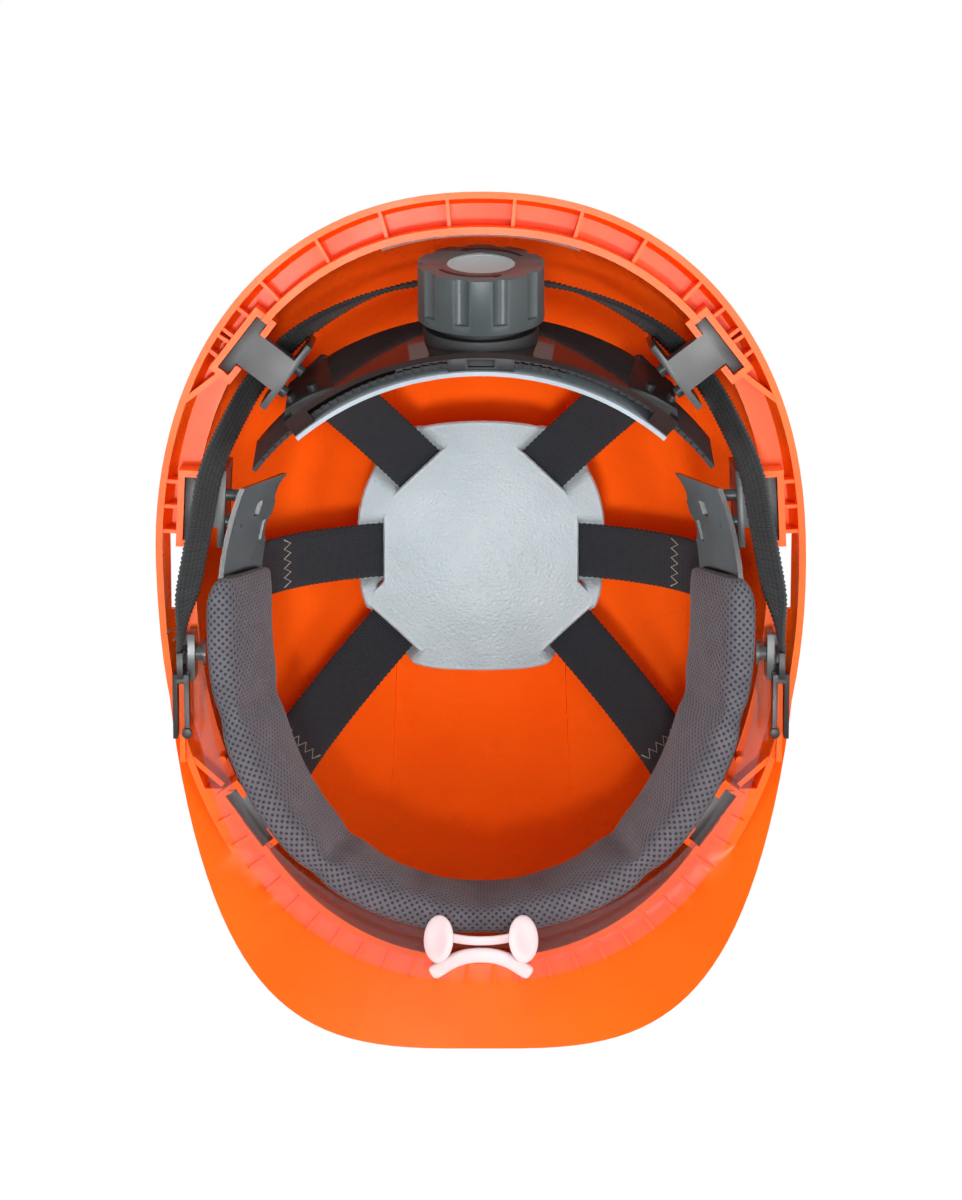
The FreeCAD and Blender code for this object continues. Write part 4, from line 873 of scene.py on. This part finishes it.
# ---------------------------------------------------------------- nose bridge
def round_bar(name, route, half_width, half_thick, material):
    """A bar with an oval section along points; its width stays across the route."""
    stations = []
    for k, here in enumerate(route):
        along = (Vector(route[min(k + 1, len(route) - 1)]) - Vector(route[max(k - 1, 0)])).normalized()
        across = along.cross(Vector((0, 0, 1))).normalized()
        stations.append((Vector(here), across, across.cross(along)))
    corners = [(1, 0.45), (0.62, 1), (-0.62, 1), (-1, 0.45),
               (-1, -0.45), (-0.62, -1), (0.62, -1), (1, -0.45)]
    ring = [(a * half_width, b * half_thick) for a, b in corners]
    bar = outward(sweep(name, stations, lambda index: ring, material))
    soft = bar.modifiers.new("soft", "SUBSURF")
    soft.levels = soft.render_levels = 2
    return bar


def nose_pad(name, sign):
    """A dished oval pad: a ball flattened and hollowed on the side towards the nose."""
    bpy.ops.object.select_all(action="DESELECT")
    bpy.ops.mesh.primitive_uv_sphere_add(segments=32, ring_count=20, radius=1.0)
    pad = bpy.context.object
    pad.name = name
    for v in pad.data.vertices:
        x, y, z = v.co
        hollow = 1.35 * max(-z, 0) * math.exp(-((x / 0.75) ** 2 + (y / 0.75) ** 2))
        v.co = Vector((x * 5.6, y * 8.2, (z * 2.3 + hollow * 1.25))) * MM
    turn = Matrix.Rotation(sign * math.radians(-28), 4, "Y") @ Matrix.Rotation(math.radians(10), 4, "X")
    pad.data.transform(Matrix.Translation(Vector((sign * 14.4, -106.2, -17.4)) * MM) @ turn)
    for face in pad.data.polygons:
        face.use_smooth = True
    pad.data.materials.append(white_silicone)
    return pad


def make_nose_bridge():
    """The bridge: a wide bar on the lens, a thin arch and two dished pads."""
    feet = [(17.2, -119.2, -14.9), (14.6, -117.6, -15.6), (10.6, -114.4, -16.6), (5.6, -112.3, -17.0),
            (0, -111.8, -17.0)]
    route = feet + [(-x, y, z) for x, y, z in reversed(feet[:-1])]
    bridge = round_bar("nose_bridge_bar", route, 2.6, 1.7, white_silicone)
    arch = [(12.0, -105.4, -16.2), (8.0, -106.8, -15.8), (0, -107.6, -15.5)]
    arch += [(-x, y, z) for x, y, z in reversed(arch[:-1])]
    pieces = [round_bar("nose_bridge_arch", arch, 1.6, 0.8, white_silicone),
              nose_pad("nose_pad_left", 1), nose_pad("nose_pad_right", -1)]
    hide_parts("nose_bridge")
    for piece in [bridge] + pieces:
        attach(piece, "visor")


make_nose_bridge()


# ---------------------------------------------------------------- arrows on the knob
KNOB_LEAN = math.radians(12)
KNOB_FACE = Matrix.Translation(Vector((0, 99, -10)) * MM) @ Matrix(
    ((1, 0, 0), (0, -math.sin(KNOB_LEAN), math.cos(KNOB_LEAN)),
     (0, -math.cos(KNOB_LEAN), -math.sin(KNOB_LEAN)))).to_4x4()


def make_knob_arrows():
    """Two plain curved arrows on the knob's face, raised a little, for its two ways to turn."""
    points, faces = [], []
    radius, half, top, low = 15.2, 0.55, 24.55, 24.2
    step = 7.5
    for start in (30, 210):
        first = len(points)
        spots = [(start + step * k, half) for k in range(11)] + [(start + 76, 1.7), (start + 86, 0.02)]
        for z in (top, low):
            for edge in (1, -1):
                for turn, wide in spots:
                    angle = math.radians(turn)
                    points.append(((radius + edge * wide) * math.cos(angle),
                                   (radius + edge * wide) * math.sin(angle), z))
        count = len(spots)
        for k in range(count - 1):
            a, b, c, d = (first + layer * count + k for layer in range(4))
            faces += [(a, b, b + 1, a + 1), (c, c + 1, d + 1, d),
                      (a, a + 1, c + 1, c), (b, d, d + 1, b + 1)]
        a, b, c, d = (first + layer * count for layer in range(4))
        faces.append((a, c, d, b))
        end = count - 1
        faces.append((a + end, b + end, d + end, c + end))
    arrows = link_mesh("knob_arrows", points, faces, [(0, 0)] * sum(len(f) for f in faces), black_print)
    for face in arrows.data.polygons:
        face.use_smooth = False
    arrows.data.transform(KNOB_FACE)
    return outward(arrows)


arrows = make_knob_arrows()
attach(arrows, "knob")


# ---------------------------------------------------------------- floor and world
def make_floor():
    """A wide pale floor, plain from above and clear from below."""
    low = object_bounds()[0][2]
    bpy.ops.mesh.primitive_plane_add(size=9, location=(0, 0, low - 0.0005))
    floor = bpy.context.object
    floor.name = "floor"
    material = start_material("pale_floor", Base_Color=colour("f2f2f2"), Roughness=0.7)
    tree = material.node_tree
    shader = tree.nodes["Principled BSDF"]
    face = add_node(material, "NewGeometry")
    path = add_node(material, "LightPath")
    gone = add_node(material, "Math", {0: face.outputs["Backfacing"], 1: path.outputs["Is Shadow Ray"]},
                    operation="MAXIMUM")
    clear = add_node(material, "BsdfTransparent")
    mix = add_node(material, "MixShader")
    tree.links.new(gone.outputs[0], mix.inputs[0])
    tree.links.new(shader.outputs[0], mix.inputs[1])
    tree.links.new(clear.outputs[0], mix.inputs[2])
    tree.links.new(mix.outputs[0], tree.nodes["Material Output"].inputs["Surface"])
    floor.data.materials.append(material)


make_floor()
world = bpy.data.worlds.new("pale_studio")
world.use_nodes = True
background = world.node_tree.nodes["Background"]
background.inputs["Color"].default_value = (1, 1, 1, 1)
path = world.node_tree.nodes.new("ShaderNodeLightPath")
level = world.node_tree.nodes.new("ShaderNodeMapRange")
level.inputs["To Min"].default_value = 0.5
level.inputs["To Max"].default_value = 1.0
world.node_tree.links.new(path.outputs["Is Camera Ray"], level.inputs["Value"])
world.node_tree.links.new(level.outputs["Result"], background.inputs["Strength"])
bpy.context.scene.world = world
bpy.context.scene.view_settings.view_transform = "Standard"
